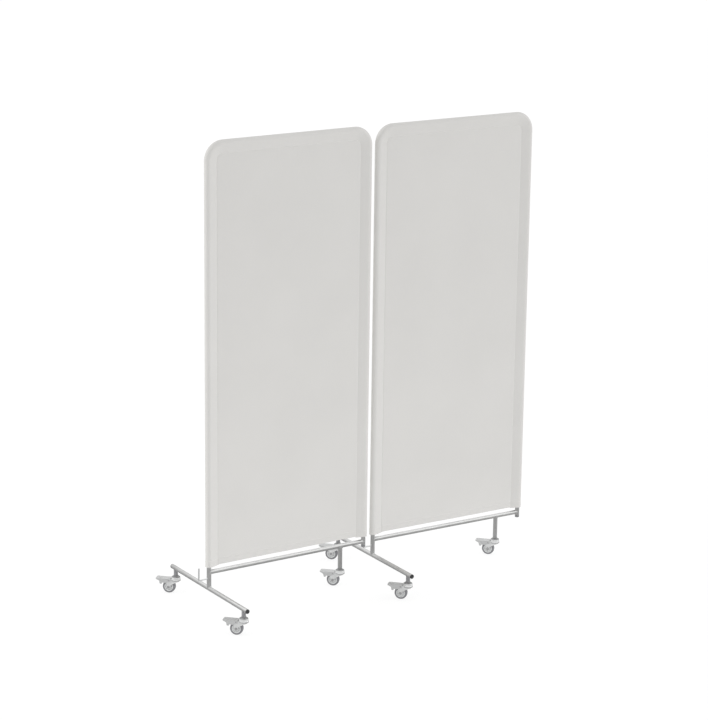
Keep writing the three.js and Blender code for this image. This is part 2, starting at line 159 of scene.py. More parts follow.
class CoverSizes(PropertyGroup):
    sleeve_radius: size("Sleeve radius", "Radius of the cloth round the posts and the top bar", 14.2)
    seam_reach: size("Seam reach", "Distance of the sewn seam from the tube's axis", 38)
    layer_half: size("Layer gap", "Half of the distance between the front and the back cloth", 2)
    seam_half: size("Seam gap", "Half of the distance between the two cloths at the seam", 1.3)
    cloth: size("Cloth thickness", "Thickness of the woven cloth", 0.7)
    hem_depth: size("Hem depth", "Depth of the turned-up hem", 26)
    hem_lift: size("Hem lift", "Height of the panel's hem above the sleeves' lower ends", 3)
    hem_half: size("Hem swell", "How far the doubled hem stands out of the panel", 0.5)
    row_step: size("Row step", "Height of one row of the cloth's mesh", 9.2)
    wave: size("Slack", "Depth of the slow waves in the stretched panel", 0.9)
    pucker: size("Pucker", "Depth of the puckers along the seams", 0.42)
    stitch: size("Stitch pitch", "Length of one stitch of the seams", 4)


class HingeSizes(PropertyGroup):
    peg_radius: size("Peg radius", "Radius of the lift-off peg", 3)
    peg_reach: size("Peg reach", "Distance of the peg from its post's axis", 45.5)
    arm_height: size("Arm height", "Height of the peg's level arm", 145)
    peg_top: size("Peg top", "Height of the peg's tip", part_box("main_hinge_peg")[1].z / MM)
    bend_radius: size("Peg bend", "Radius of the peg's bend, at its axis", 4)
    bush_bore: size("Bush bore", "Radius of the bush's bore", 3.6)
    flange_height: size("Bush flange", "Height of the bush's collar below the tube", 8)
    spigot: size("Bush spigot", "Length of the bush inside the tube", 16)
    plug_face: size("Plug face", "Thickness of a foot plug's face", 3)
    plug_spigot: size("Plug spigot", "Length of a foot plug inside the tube", 15)


class CastorSizes(PropertyGroup):
    wheel_width: size("Wheel width", "Width of the hub", 22)
    tyre_depth: size("Tyre depth", "Depth of the tyre's rubber", 8)
    hub_boss: size("Hub boss", "Radius of the hub's boss", 6.5)
    hub_web: size("Hub web", "Thickness of the hub's web", 12)
    trail: size("Trail", "Distance of the wheel's axis from the swivel axis", 27.5)
    head_top: size("Head top", "Height of the swivel head's neck, where the collar stands", 73)
    head_neck: size("Head neck", "Radius of the swivel head's neck", 10.5)
    rim_top: size("Rim top", "Height of the top of the swivel head's rim", 68)
    rim_depth: size("Rim depth", "Depth of the swivel head's rim", 5)
    rim_radius: size("Rim radius", "Radius of the swivel head's rim", 18.5)
    stem_radius: size("Stem radius", "Radius of the castor's stem", 4.8)
    kingpin: size("Kingpin radius", "Radius of the kingpin", 4.5)
    rivet: size("Rivet radius", "Radius of the kingpin's riveted head", 7)
    collar_radius: size("Collar radius", "Radius of the stem's collar", 8.5)
    collar_foot: size("Collar foot", "Radius of the collar's flared foot", 9.8)
    crown_radius: size("Crown radius", "Radius of the fork's crown", 19.5)
    crown_shoulder: size("Crown shoulder", "Size of the crown's coned shoulder", 3)
    plate: size("Plate", "Thickness of the fork's and the pedal's sheet metal", 1.8)
    fold: size("Fold", "Outside radius of the sheet metal's folds", 1.7)
    edge: size("Edge", "Rounding of small edges", 0.5)
    side_gap: size("Side gap", "Gap between the wheel and the fork", 0.8)
    running_gap: size("Running gap", "Gap between parts that turn on each other", 0.5)
    fit_gap: size("Fit gap", "Gap between parts that are fixed to each other", 0.3)
    cheek_shoulder: size("Cheek shoulder", "Height of the cheek's lower edge under the swivel axis", 45)
    cheek_back: size("Cheek back", "Distance of the cheek's back edge behind the wheel's axis", 10.5)
    cheek_back_height: size("Cheek back height", "Height of the cheek's back corner", 43)
    axle_boss: size("Axle boss", "Radius of the cheek round the axle", 8)
    ear: size("Ear", "Radius of the cheek round the pedal's pin", 3.7)
    pin_height: size("Pin height", "Height of the pedal's pin", 54.8)
    pin_radius: size("Pin radius", "Radius of the pedal's pin", 1.8)
    axle_radius: size("Axle radius", "Radius of the wheel's axle", 3)
    bolt_head: size("Bolt head", "Radius of the axle bolt's head over its corners", 6)
    bolt_height: size("Bolt head height", "Thickness of the axle bolt's head", 2)


class PedalSizes(PropertyGroup):
    root: size("Root", "Distance of the pedal's root from the swivel axis", 20.3)
    tip: size("Tip", "Distance of the pedal's tip from the swivel axis", 82)
    top: size("Top", "Height of the pedal's tread", 60.8)
    tip_depth: size("Tip depth", "Depth of the pedal's lip at its tip", 4)
    tip_round: size("Tip rounding", "Rounding of the pedal's tip", 2.2)
    plan_round: size("Corner rounding", "Rounding of the tread's corners, seen from above", 8)
    lip: size("Lip reach", "Distance of the lip's end from the swivel axis", 74)
    lip_height: size("Lip height", "Height of the lip's lower edge", 55)
    shoulder: size("Shoulder reach", "Distance of the tooth's shoulder from the swivel axis", 66)
    shoulder_height: size("Shoulder height", "Height of the tooth's shoulder", 50.5)
    tooth: size("Tooth reach", "Distance of the tooth's outer corner from the swivel axis", 63.5)
    tooth_width: size("Tooth width", "Width of the tooth's lower edge", 7.5)
    tooth_slope: size("Tooth slope", "Run of the tooth's inner flank", 2)
    tooth_height: size("Tooth height", "Height of the tooth's lower edge", 38)
    notch: size("Notch", "Height of the notch beside the tooth", 43.5)
    skirt: size("Skirt reach", "Distance of the skirt's low corner from the swivel axis", 40)
    skirt_height: size("Skirt height", "Height of the skirt's low corner", 43)
    heel_height: size("Heel height", "Height of the skirt's lower edge at the root", 50)
    shoe: size("Shoe reach", "Distance of the shoe from the swivel axis", 40)
    shoe_length: size("Shoe length", "Length of the brake shoe", 10)
    shoe_width: size("Shoe width", "Width of the brake shoe", 14)
    shoe_gap: size("Shoe gap", "Gap between the shoe and the tyre when pressed", 0.4)
    bar_pitch: size("Tread pitch", "Distance between the tread's pressed ribs", 5)
    turn: angle("Press", "Angle through which the pedal is pressed", 12)


class FinishColours(PropertyGroup):
    cloth: colour("Cloth", "Off-white woven cloth", (0.673, 0.664, 0.646))
    steel: colour("Tube steel", "Satin plated steel of the frame", (0.62, 0.622, 0.618))
    zinc: colour("Zinc", "Bright zinc of the forks and the heads' rims", (0.77, 0.775, 0.775))
    cap: colour("Cap", "Dark zinc of the heads' coned caps", (0.26, 0.262, 0.265))
    # Painted shade: a darker zinc for the crowns' walls, standing in for the shade under the heads' rims.
    race: colour("Race zinc", "Duller zinc of the forks' lower races", (0.48, 0.482, 0.485))
    pedal: colour("Pedal zinc", "Zinc of the brake pedals", (0.6, 0.605, 0.605))
    peg: colour("Peg zinc", "Bright zinc of the lift-off peg", (0.84, 0.845, 0.85))
    bolt: colour("Axle steel", "Dull steel of the axles", (0.42, 0.42, 0.425))
    plug: colour("Plug plastic", "Dark plastic of the feet's plugs", (0.035, 0.035, 0.037))
    collar: colour("Collar plastic", "Grey plastic of the collars and the bushes", (0.14, 0.142, 0.145))
    hub: colour("Hub plastic", "Light grey plastic of the wheel hubs", (0.62, 0.625, 0.63))
    tyre: colour("Tyre rubber", "Grey rubber of the tyres", (0.1, 0.101, 0.103))


class StageSizes(PropertyGroup):
    azimuth: angle("Azimuth", "Turn of the camera round the screen", -32.96)
    elevation: angle("Elevation", "Tilt of the camera above the horizon", 15.02)
    roll: angle("Roll", "Turn of the camera about its own axis", 0.72)
    lens: number("Lens", "Focal length in millimetres", 122.64)
    camera: FloatVectorProperty(
        name="Camera", description="Place of the camera", default=(-5.178, -7.927, 3.471), size=3,
        subtype="TRANSLATION",
    )
    floor: size("Floor", "Half width of the floor", 30 / MM)
    white: number("White", "How white the floor looks to the camera", 0.83)
    shade: number("Shade", "How much of its shadows the floor shows", 0.2)
    bounce: number("Bounce", "Light that the floor adds to the dull parts over it", 0.37)
    surround: number("Surround", "Strength of the pale surround on dull parts", 0.85)
    side: number("Side", "How much stronger the surround is on the right", 0.03)
    horizon: number("Horizon", "Strength of the horizon in shiny parts", 0.62)
    zenith: number("Zenith", "Strength of the overhead light in shiny parts", 1.6)
    key: number("Key light", "Power of the soft light on the right", 1400, unit="POWER")
    rim: number("Rim light", "Power of the light behind on the left", 95, unit="POWER")


class ScreenSettings(PropertyGroup):
    tubes: settings(TubeSizes, "Tubes", "Sizes of the frame tubes")
    cover: settings(CoverSizes, "Cover", "Sizes of the cloth covers")
    hinge: settings(HingeSizes, "Hinge", "Sizes of the hinge parts and plugs")
    castor: settings(CastorSizes, "Castor", "Sizes of the castors")
    pedal: settings(PedalSizes, "Pedal", "Sizes of the brake pedals")
    colours: settings(FinishColours, "Colours", "Colours of the finishes")
    stage: settings(StageSizes, "Stage", "Camera, lights and floor")


def sizes(group):
    return getattr(bpy.context.scene.ward_screen, group)


# Mesh helpers

QUARTER_TURN = math.radians(90)
CORNER_SEGMENTS = 5
# Distances within which corners are merged, or count as on one plane or in one row
TURN_WELD = 0.0001 * MM
CUT_WELD = 0.005 * MM
SHEET_WELD = 0.02 * MM
ON_PLANE = 0.01 * MM
SAME_ROW = 0.1 * MM


def faces_of(parts):
    return [part for part in parts if isinstance(part, bmesh.types.BMFace)]


def edges_of(parts):
    return [part for part in parts if isinstance(part, bmesh.types.BMEdge)]


def verts_of(parts):
    return [part for part in parts if isinstance(part, bmesh.types.BMVert)]


def region(faces):
    """The faces with their edges and corners, so that extruding them leaves no wall behind."""
    return list({part for face in faces for part in (face, *face.edges, *face.verts)})


def face_out(mesh):
    bmesh.ops.recalc_face_normals(mesh, faces=mesh.faces)
    return mesh


def push(mesh, faces, step):
    """Extrudes faces by a step and returns the new end."""
    made = bmesh.ops.extrude_face_region(mesh, geom=region(faces))["geom"]
    bmesh.ops.translate(mesh, vec=step, verts=verts_of(made))
    return faces_of(made)


def pull(mesh, edges, step):
    """Extrudes edges by a step and returns the new end's edges and corners."""
    made = bmesh.ops.extrude_edge_only(mesh, edges=edges)["geom"]
    corners = verts_of(made)
    bmesh.ops.translate(mesh, vec=step, verts=corners)
    end = set(corners)
    return [edge for edge in edges_of(made) if end.issuperset(edge.verts)], corners


def sweep(mesh, faces, centre, steps):
    """Extrudes faces a quarter turn round the Y axis and returns the new end."""
    made = bmesh.ops.spin(mesh, geom=region(faces), cent=centre, axis=Y_AXIS, angle=QUARTER_TURN, steps=steps)
    return faces_of(made["geom_last"])


def full_turn(mesh, steps):
    """Spins a wire round Z into a closed skin."""
    parts = mesh.verts[:] + mesh.edges[:]
    bmesh.ops.spin(mesh, geom=parts, cent=(0, 0, 0), axis=UP, angle=2 * math.pi, steps=steps, use_merge=True)


def bevel(mesh, parts, offset, segments, affect="EDGES", clamp_overlap=False):
    bmesh.ops.bevel(mesh, geom=parts, offset=offset, offset_type="OFFSET", segments=segments, profile=0.5,
                    affect=affect, material=-1, clamp_overlap=clamp_overlap)


def round_corner_edges(mesh, offset, segments, corner_angle=math.radians(35)):
    """Bevels each edge that turns by more than the corner angle."""
    shared = [edge for edge in mesh.edges if len(edge.link_faces) == 2]
    corners = [edge for edge in shared if edge.calc_face_angle() > corner_angle]
    bevel(mesh, corners, offset, segments, clamp_overlap=True)
    return mesh


def outline_wire(points, closed, to_place):
    """Edges through (across, up, rounding) points, with each corner rounded as it asks."""
    mesh = bmesh.new()
    corners = [mesh.verts.new(to_place(point[0], point[1])) for point in points]
    pairs = list(zip(corners, corners[1:]))
    if closed:
        pairs.append((corners[-1], corners[0]))
    for pair in pairs:
        mesh.edges.new(pair)
    roundings = [(corner, point[2]) for corner, point in zip(corners, points) if len(point) > 2]
    for corner, rounding in roundings:
        bevel(mesh, [corner], rounding, CORNER_SEGMENTS, affect="VERTICES")
    return mesh


def turned(points, closed, steps=48):
    """A solid turned about Z from (radius, height, rounding) points, closed on itself or at the axis."""
    mesh = outline_wire(points, closed, lambda radius, height: (radius, 0, height))
    full_turn(mesh, steps)
    bmesh.ops.remove_doubles(mesh, verts=mesh.verts, dist=TURN_WELD)
    return face_out(mesh)


def slab(points, low, high):
    """An outline in the XZ plane, made solid between two places along Y."""
    mesh = outline_wire(points, True, lambda across, up: (across, low, up))
    bmesh.ops.contextual_create(mesh, geom=mesh.edges[:])
    push(mesh, mesh.faces[:], Y_AXIS * (high - low))
    return face_out(mesh)


def block(low, high):
    mesh = bmesh.new()
    span = Vector(high) - Vector(low)
    place = Matrix.Translation((Vector(high) + Vector(low)) / 2) @ Matrix.Diagonal((*span, 1))
    bmesh.ops.create_cube(mesh, size=1, matrix=place)
    return mesh


def place_along(origin, run):
    """A place with its local Z along a run."""
    return Matrix.Translation(origin) @ run.to_track_quat("Z", "Y").to_matrix().to_4x4()


def rod(radius, start, end, sides=32):
    mesh = bmesh.new()
    run = Vector(end) - Vector(start)
    place = place_along((Vector(end) + Vector(start)) / 2, run)
    bmesh.ops.create_cone(
        mesh, segments=sides, radius1=radius, radius2=radius, depth=run.length, cap_ends=True, matrix=place
    )
    return mesh


def moved(mesh, matrix):
    bmesh.ops.transform(mesh, matrix=matrix, verts=mesh.verts)
    return mesh


def lay_along_y(mesh):
    """Turns a solid made about Z so that its axis is Y."""
    return moved(mesh, Matrix.Rotation(-QUARTER_TURN, 4, "X"))


def gather(mesh, *others):
    """Adds other meshes to a mesh as loose shells of the same piece."""
    for other in others:
        data = bpy.data.meshes.new("shell")
        other.to_mesh(data)
        other.free()
        mesh.from_mesh(data)
        bpy.data.meshes.remove(data)
    return mesh


def as_object(mesh, name):
    data = bpy.data.meshes.new(name)
    mesh.to_mesh(data)
    mesh.free()
    made = bpy.data.objects.new(name, data)
    bpy.context.scene.collection.objects.link(made)
    return made


def combined(base, steps):
    """A solid joined to or cut by others; steps are ("UNION" or "DIFFERENCE" or "INTERSECT", mesh) pairs."""
    holder = as_object(base, "work_piece")
    tools = []
    for operation, mesh in steps:
        tool = as_object(mesh, "work_tool")
        tool.hide_render = True
        tools.append(tool)
        change = holder.modifiers.new("change", "BOOLEAN")
        change.operation = operation
        change.solver = "EXACT"
        change.object = tool
    bpy.context.view_layer.update()
    graph = bpy.context.evaluated_depsgraph_get()
    data = bpy.data.meshes.new_from_object(holder.evaluated_get(graph))
    result = bmesh.new()
    result.from_mesh(data)
    for spent in (holder, *tools):
        spent_data = spent.data
        bpy.data.objects.remove(spent)
        bpy.data.meshes.remove(spent_data)
    bpy.data.meshes.remove(data)
    bmesh.ops.remove_doubles(result, verts=result.verts, dist=CUT_WELD)
    bmesh.ops.dissolve_degenerate(result, edges=result.edges, dist=CUT_WELD)
    return result


def finish_piece(mesh, name, place, body, node, slot, *materials, smooth_angle=math.radians(32)):
    """Puts a mesh in place, without stray edges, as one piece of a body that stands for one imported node."""
    bmesh.ops.delete(mesh, geom=[edge for edge in mesh.edges if edge.is_wire], context="EDGES")
    moved(mesh, place)
    piece = as_object(mesh, name)
    piece.data.shade_smooth()
    piece.data.set_sharp_from_angle(angle=smooth_angle)
    for material in materials:
        piece.data.materials.append(finishes()[material])
    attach(piece, body)
    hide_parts(node)
    return piece


def screen_piece(mesh, screen, part, node, slot, material, **options):
    """Finishes a piece that is fixed to a screen."""
    return finish_piece(mesh, f"{screen}_{part}", screen_matrix(screen), f"{screen}_screen",
                        f"{screen}_{node}", slot, material, **options)


# Shader node helpers

def feed(tree, node, inputs):
    """Links or sets a node's inputs."""
    for key, value in inputs.items():
        if isinstance(value, bpy.types.NodeSocket):
            tree.links.new(value, node.inputs[key])
        else:
            node.inputs[key].default_value = value


def add_node(tree, kind, inputs=None, **options):
    """A shader node with its options, and its inputs linked or set; returns its outputs."""
    node = tree.nodes.new(f"ShaderNode{kind}")
    for key, value in options.items():
        setattr(node, key, value)
    feed(tree, node, inputs or {})
    return node.outputs


def maths(tree, operation, *values):
    return add_node(tree, "Math", dict(enumerate(values)), operation=operation)[0]


def blend_colour(tree, share, first, second):
    return add_node(tree, "Mix", {"Factor": share, 6: first, 7: second}, data_type="RGBA")[2]


def ranged(tree, value, low, high, new_low=0.0, new_high=1.0):
    inputs = {"Value": value, 1: low, 2: high, 3: new_low, 4: new_high}
    return add_node(tree, "MapRange", inputs, clamp=True)[0]


def noise_value(tree, vector, scale, detail, roughness=0.5):
    inputs = {"Vector": vector, "Scale": scale, "Detail": detail, "Roughness": roughness}
    return add_node(tree, "TexNoise", inputs)["Fac"]


def axis_value(tree, vector, axis):
    return add_node(tree, "SeparateXYZ", {0: vector})[axis]


def grey(value):
    return (value, value, value, 1.0)


def solid_colour(rgb, share=1.0):
    return (rgb[0] * share, rgb[1] * share, rgb[2] * share, 1.0)


def new_group(name, inputs, outputs):
    """An empty shader group, its input sockets and its end; an input without a default is a vector."""
    group = bpy.data.node_groups.new(name, "ShaderNodeTree")
    for socket, default in inputs.items():
        kind = "NodeSocketVector" if default is None else "NodeSocketFloat"
        made = group.interface.new_socket(name=socket, in_out="INPUT", socket_type=kind)
        if default is not None:
            made.default_value = default
    for socket in outputs:
        group.interface.new_socket(name=socket, in_out="OUTPUT", socket_type="NodeSocketFloat")
    return group, group.nodes.new("NodeGroupInput").outputs, group.nodes.new("NodeGroupOutput")


def place_group(tree, group, inputs):
    return add_node(tree, "Group", inputs, node_tree=group)


def uneven_finish_group():
    """Slow blotches and fine grain: a mask for colour, a roughness and a height."""
    group, given, out = new_group("Uneven Finish", {
        "Vector": None, "Blotch Scale": 20.0, "Grain Scale": 900.0, "Roughness": 0.4, "Roughness Spread": 0.1,
    }, ("Blotch", "Roughness", "Grain"))
    blotch = noise_value(group, given["Vector"], given["Blotch Scale"], 4.0)
    grain = noise_value(group, given["Vector"], given["Grain Scale"], 2.0)
    centred = maths(group, "SUBTRACT", blotch, 0.5)
    fine = maths(group, "SUBTRACT", grain, 0.5)
    both = maths(group, "ADD", maths(group, "MULTIPLY", centred, 2.0), fine)
    rough = maths(group, "MULTIPLY_ADD", both, given["Roughness Spread"], given["Roughness"])
    feed(group, out, {"Blotch": ranged(group, blotch, 0.35, 0.65), "Roughness": rough, "Grain": grain})
    return group


def settled_dust_group():
    """A mask that is strongest on faces that look up and near the floor."""
    group, given, out = new_group("Settled Dust", {"Vector": None, "Reach": 0.25, "Amount": 0.3}, ("Mask",))
    facing = axis_value(group, add_node(group, "NewGeometry")["Normal"], "Z")
    height = axis_value(group, given["Vector"], "Z")
    upward = ranged(group, facing, 0.2, 1.0, 0.15)
    low = maths(group, "SUBTRACT", 1.0, maths(group, "DIVIDE", height, given["Reach"]))
    low = maths(group, "MAXIMUM", low, 0.0)
    patchy = ranged(group, noise_value(group, given["Vector"], 260.0, 5.0, 0.65), 0.4, 0.72)
    mask = maths(group, "MULTIPLY", maths(group, "MULTIPLY", upward, low), patchy)
    feed(group, out, {"Mask": maths(group, "MULTIPLY", mask, given["Amount"])})
    return group


def rubbed_edge_group():
    """A mask along convex edges, broken up by noise, from a rounded normal."""
    group, given, out = new_group("Rubbed Edges", {
        "Vector": None, "Radius": 0.0008, "Amount": 1.0,
    }, ("Mask",))
    rounded = add_node(group, "Bevel", {"Radius": given["Radius"]}, samples=4)[0]
    flat = add_node(group, "NewGeometry")["Normal"]
    alike = add_node(group, "VectorMath", {0: rounded, 1: flat}, operation="DOT_PRODUCT")["Value"]
    broken = ranged(group, noise_value(group, given["Vector"], 400.0, 3.0), 0.4, 0.6, 0.2)
    mask = maths(group, "MULTIPLY", ranged(group, alike, 0.99, 0.85), broken)
    feed(group, out, {"Mask": maths(group, "MULTIPLY", mask, given["Amount"])})
    return group


def plain_weave_group():
    """Over-and-under threads of a plain weave: a height and a mask of the gaps between the threads, for
    painted shade in them.
    """
    group, given, out = new_group("Plain Weave", {"Vector": None, "Threads": 1400.0}, ("Height", "Gap"))
    wander = noise_value(group, given["Vector"], 45.0, 2.0)
    shift = maths(group, "MULTIPLY", wander, 1.5)
    waves = []
    for axis in ("X", "Y"):
        run = maths(group, "MULTIPLY_ADD", axis_value(group, given["Vector"], axis), given["Threads"], shift)
        waves.append(maths(group, "SINE", maths(group, "MULTIPLY", run, math.pi)))
    over = maths(group, "MULTIPLY", *waves)
    crown = maths(group, "ABSOLUTE", over)
    height = maths(group, "MULTIPLY_ADD", over, 0.5, maths(group, "MULTIPLY", crown, 0.5))
    feed(group, out, {"Height": height, "Gap": ranged(group, crown, 0.0, 0.35, 1.0, 0.0)})
    return group


def stitch_row_group():
    """One row of lock stitches along a line: a mask of thread and a height that sinks between stitches."""
    group, given, out = new_group("Stitch Row", {
        "Offset": 0.0, "Along": 0.0, "Pitch": 0.004, "Width": 0.0006,
    }, ("Thread", "Height"))
    away = maths(group, "DIVIDE", maths(group, "ABSOLUTE", given["Offset"]), given["Width"])
    line = ranged(group, away, 0.7, 1.2, 1.0, 0.0)
    turn = maths(group, "FRACT", maths(group, "DIVIDE", given["Along"], given["Pitch"]))
    from_middle = maths(group, "ABSOLUTE", maths(group, "SUBTRACT", turn, 0.5))
    thread = maths(group, "MULTIPLY", line, ranged(group, from_middle, 0.34, 0.42, 1.0, 0.0))
    dip = ranged(group, away, 0.0, 3.0, 1.0, 0.0)
    feed(group, out, {"Thread": thread, "Height": maths(group, "SUBTRACT", thread, dip)})
    return group


def base_material(name):
    """A new material's tree, its Principled shader and its own coordinates."""
    material = bpy.data.materials.new(name)
    material.use_nodes = True
    tree = material.node_tree
    tree.nodes.clear()
    shader = tree.nodes.new("ShaderNodeBsdfPrincipled")
    add_node(tree, "OutputMaterial", {"Surface": shader.outputs[0]})
    return tree, shader, add_node(tree, "TexCoord")["Object"]


METAL = {
    "grain": 1500.0, "tints": (0.95, 1.03), "edge": 0.7 * MM, "rub": 1.45, "lift": 0.0,
    "dust_colour": (0.36, 0.35, 0.33, 1.0), "bump": 0.12, "depth": 0.05 * MM,
}
MOULDED = {
    "blotch": 60.0, "spread": 0.12, "tints": (0.88, 1.1), "edge": 0.6 * MM, "wear": 0.35, "rub": 1.5,
    "lift": 0.02, "dust_colour": (0.4, 0.39, 0.37, 1.0), "bump": 0.35,
}


def coated(name, groups, rgb, look, cap=None):
    """A cloudy finish with a fine grain, dust that settles on it and edges rubbed bright.

    Where the look is metallic, dust dulls it. A cap is a (colour, height) pair: from that height up the
    finish has the other colour.
    """
    tree, shader, vector = base_material(name)
    finish = place_group(tree, groups["finish"], {
        "Vector": vector, "Blotch Scale": look["blotch"], "Grain Scale": look["grain"],
        "Roughness": look["rough"], "Roughness Spread": look["spread"],
    })
    dark, light = look["tints"]
    tint = blend_colour(tree, finish["Blotch"], solid_colour(rgb, dark), solid_colour(rgb, light))
    if cap:
        half_step = 0.5 * MM
        above = ranged(tree, axis_value(tree, vector, "Z"), cap[1] - half_step, cap[1] + half_step)
        tint = blend_colour(tree, above, tint, solid_colour(cap[0]))
    edges = place_group(tree, groups["edges"], {
        "Vector": vector, "Radius": look["edge"], "Amount": look["wear"],
    })
    rubbed = [min(1.0, part * look["rub"] + look["lift"]) for part in rgb]
    tint = blend_colour(tree, edges["Mask"], tint, solid_colour(rubbed))
    dust = place_group(tree, groups["dust"], {"Vector": vector, "Amount": look["dust"]})["Mask"]
    rough = finish["Roughness"]
    if "metallic" in look:
        rough = maths(tree, "MULTIPLY_ADD", dust, 0.4, rough)
        feed(tree, shader, {"Metallic": maths(tree, "SUBTRACT", look["metallic"], dust)})
    bump = {"Strength": look["bump"], "Distance": look["depth"], "Height": finish["Grain"]}
    feed(tree, shader, {
        "Base Color": blend_colour(tree, dust, tint, look["dust_colour"]),
        "Roughness": rough,
        "Normal": add_node(tree, "Bump", bump)[0],
    })


def woven_cloth(groups, cloth, stitch):
    """Off-white plain weave with a soft sheen, sewn seams and a stitched hem."""
    tree, shader, vector = base_material("woven_cloth")
    flat = add_node(tree, "UVMap", uv_map="flat_cut")[0]
    weave = place_group(tree, groups["weave"], {"Vector": flat, "Threads": 1500.0})
    finish = place_group(tree, groups["finish"], {
        "Vector": vector, "Blotch Scale": 3.5, "Grain Scale": 160.0,
        "Roughness": 0.62, "Roughness Spread": 0.06,
    })
    names = ("seam_offset", "seam_along", "hem_offset")
    seam, along, hem = [add_node(tree, "Attribute", attribute_name=name)["Fac"] for name in names]
    rows = [
        place_group(tree, groups["stitch"], {"Offset": offset, "Along": run, "Pitch": stitch})
        for offset, run in ((seam, along), (hem, axis_value(tree, flat, "X")))
    ]
    thread = maths(tree, "MAXIMUM", *(row["Thread"] for row in rows))
    relief = maths(tree, "ADD", *(row["Height"] for row in rows))
    stretched = add_node(tree, "Mapping", {0: flat, "Scale": (900.0, 25.0, 1.0)})[0]
    slub = ranged(tree, noise_value(tree, stretched, 1.0, 2.0), 0.62, 0.75, 0.0, 0.35)
    # Painted shade: the cloth is darkened in the gaps between the threads.
    gap = maths(tree, "MULTIPLY", weave["Gap"], 0.25)
    tint = solid_colour(cloth, 0.985)
    for mask, share in ((finish["Blotch"], 1.01), (gap, 0.82), (slub, 1.08), (thread, 1.12)):
        tint = blend_colour(tree, mask, tint, solid_colour(cloth, share))
    bump = None
    for strength, depth, height in ((0.25, 0.12 * MM, weave["Height"]), (0.35, 0.4 * MM, relief)):
        inputs = {"Strength": strength, "Distance": depth, "Height": height}
        bump = add_node(tree, "Bump", {**inputs, "Normal": bump} if bump else inputs)[0]
    feed(tree, shader, {
        "Base Color": tint, "Roughness": finish["Roughness"], "Sheen Weight": 0.1, "Sheen Roughness": 0.4,
        "Specular IOR Level": 0.35, "Normal": bump,
    })


def finishes():
    """The shared groups and every material, made once and kept by name."""
    if "satin_steel" in bpy.data.materials:
        return bpy.data.materials
    colours = sizes("colours")
    head_cap = (colours.cap, sizes("castor").rim_top)
    groups = {
        "finish": uneven_finish_group(),
        "dust": settled_dust_group(),
        "edges": rubbed_edge_group(),
        "weave": plain_weave_group(),
        "stitch": stitch_row_group(),
    }
    metals = (
        ("satin_steel", colours.steel, 0.36, 0.08, 1.0, 26.0, 0.25, 0.25),
        ("bright_zinc", colours.zinc, 0.34, 0.12, 0.45, 90.0, 0.25, 0.3),
        ("head_zinc", colours.zinc, 0.34, 0.12, 0.45, 90.0, 0.25, 0.3),
        # The race zinc is painted shade: a darker copy of the zinc for the crown's wall under the rim.
        ("race_zinc", colours.race, 0.4, 0.12, 0.45, 90.0, 0.25, 0.2),
        ("pedal_zinc", colours.pedal, 0.38, 0.12, 0.45, 90.0, 0.25, 0.3),
        ("peg_zinc", colours.peg, 0.3, 0.08, 0.3, 60.0, 0.1, 0.3),
        ("dull_steel", colours.bolt, 0.45, 0.12, 0.6, 120.0, 0.2, 0.4),
    )
    for name, rgb, *values in metals:
        look = dict(zip(("rough", "spread", "metallic", "blotch", "dust", "wear"), values))
        coated(name, groups, rgb, {**METAL, **look}, head_cap if name == "head_zinc" else None)
    plastics = (
        ("plug_plastic", colours.plug, 0.5, 1800.0, 0.05 * MM, 0.2),
        ("collar_plastic", colours.collar, 0.5, 1800.0, 0.05 * MM, 0.25),
        ("hub_plastic", colours.hub, 0.42, 1600.0, 0.04 * MM, 0.3),
        ("tyre_rubber", colours.tyre, 0.7, 1100.0, 0.1 * MM, 0.5),
    )
    for name, rgb, *values in plastics:
        coated(name, groups, rgb, {**MOULDED, **dict(zip(("rough", "grain", "depth", "dust"), values))})
    woven_cloth(groups, colours.cloth, sizes("cover").stitch)
    return bpy.data.materials


# Frame tubes, in the screen's own frame

def weld_bead(branch_radius, main_radius, bead_radius, place):
    """A bead round the saddle where a branch along local Z meets a tube along local X."""
    ripples, ripple_depth = 24, 0.15
    mesh = bmesh.new()
    start = Matrix.Translation(X_AXIS * branch_radius) @ Matrix.Rotation(QUARTER_TURN, 4, "X")
    bmesh.ops.create_circle(mesh, segments=8, radius=bead_radius, matrix=start)
    full_turn(mesh, steps=64)
    for vert in mesh.verts:
        around = math.atan2(vert.co.y, vert.co.x)
        side = branch_radius * math.sin(around)
        ripple = 1 + ripple_depth * math.sin(around * ripples)
        vert.co.z = vert.co.z * ripple + math.sqrt(max(0, main_radius**2 - side**2))
    return moved(face_out(mesh), place)


def branch_matrix(branch, along, origin):
    """Place of a joint between tubes: local Z along the branch, local X along the main tube."""
    return axes_matrix(along, branch.cross(along), origin)


def tube_bead(tubes, branch, along, origin):
    """The bead where two frame tubes meet."""
    return weld_bead(tubes.radius, tubes.radius, tubes.bead_radius, branch_matrix(branch, along, origin))


def tube_start(tubes, place):
    """The end of a tube, a flat ring."""
    mesh = bmesh.new()
    for radius in (tubes.radius, tubes.radius - tubes.wall):
        bmesh.ops.create_circle(mesh, segments=tubes.sides, radius=radius)
    end = bmesh.ops.bridge_loops(mesh, edges=mesh.edges[:])["faces"]
    return moved(mesh, place), end


def straight_tube(tubes, start, end):
    run = Vector(end) - Vector(start)
    mesh, face = tube_start(tubes, place_along(start, run))
    push(mesh, face, run)
    return round_corner_edges(face_out(mesh), tubes.edge_round, segments=2)


def tube_cut(tubes, place, along):
    """The cut that makes room for a tube, for the tubes welded on it."""
    reach = along * 4 * tubes.radius
    return "DIFFERENCE", rod(tubes.radius + tubes.joint_gap, place - reach, place + reach, sides=64)


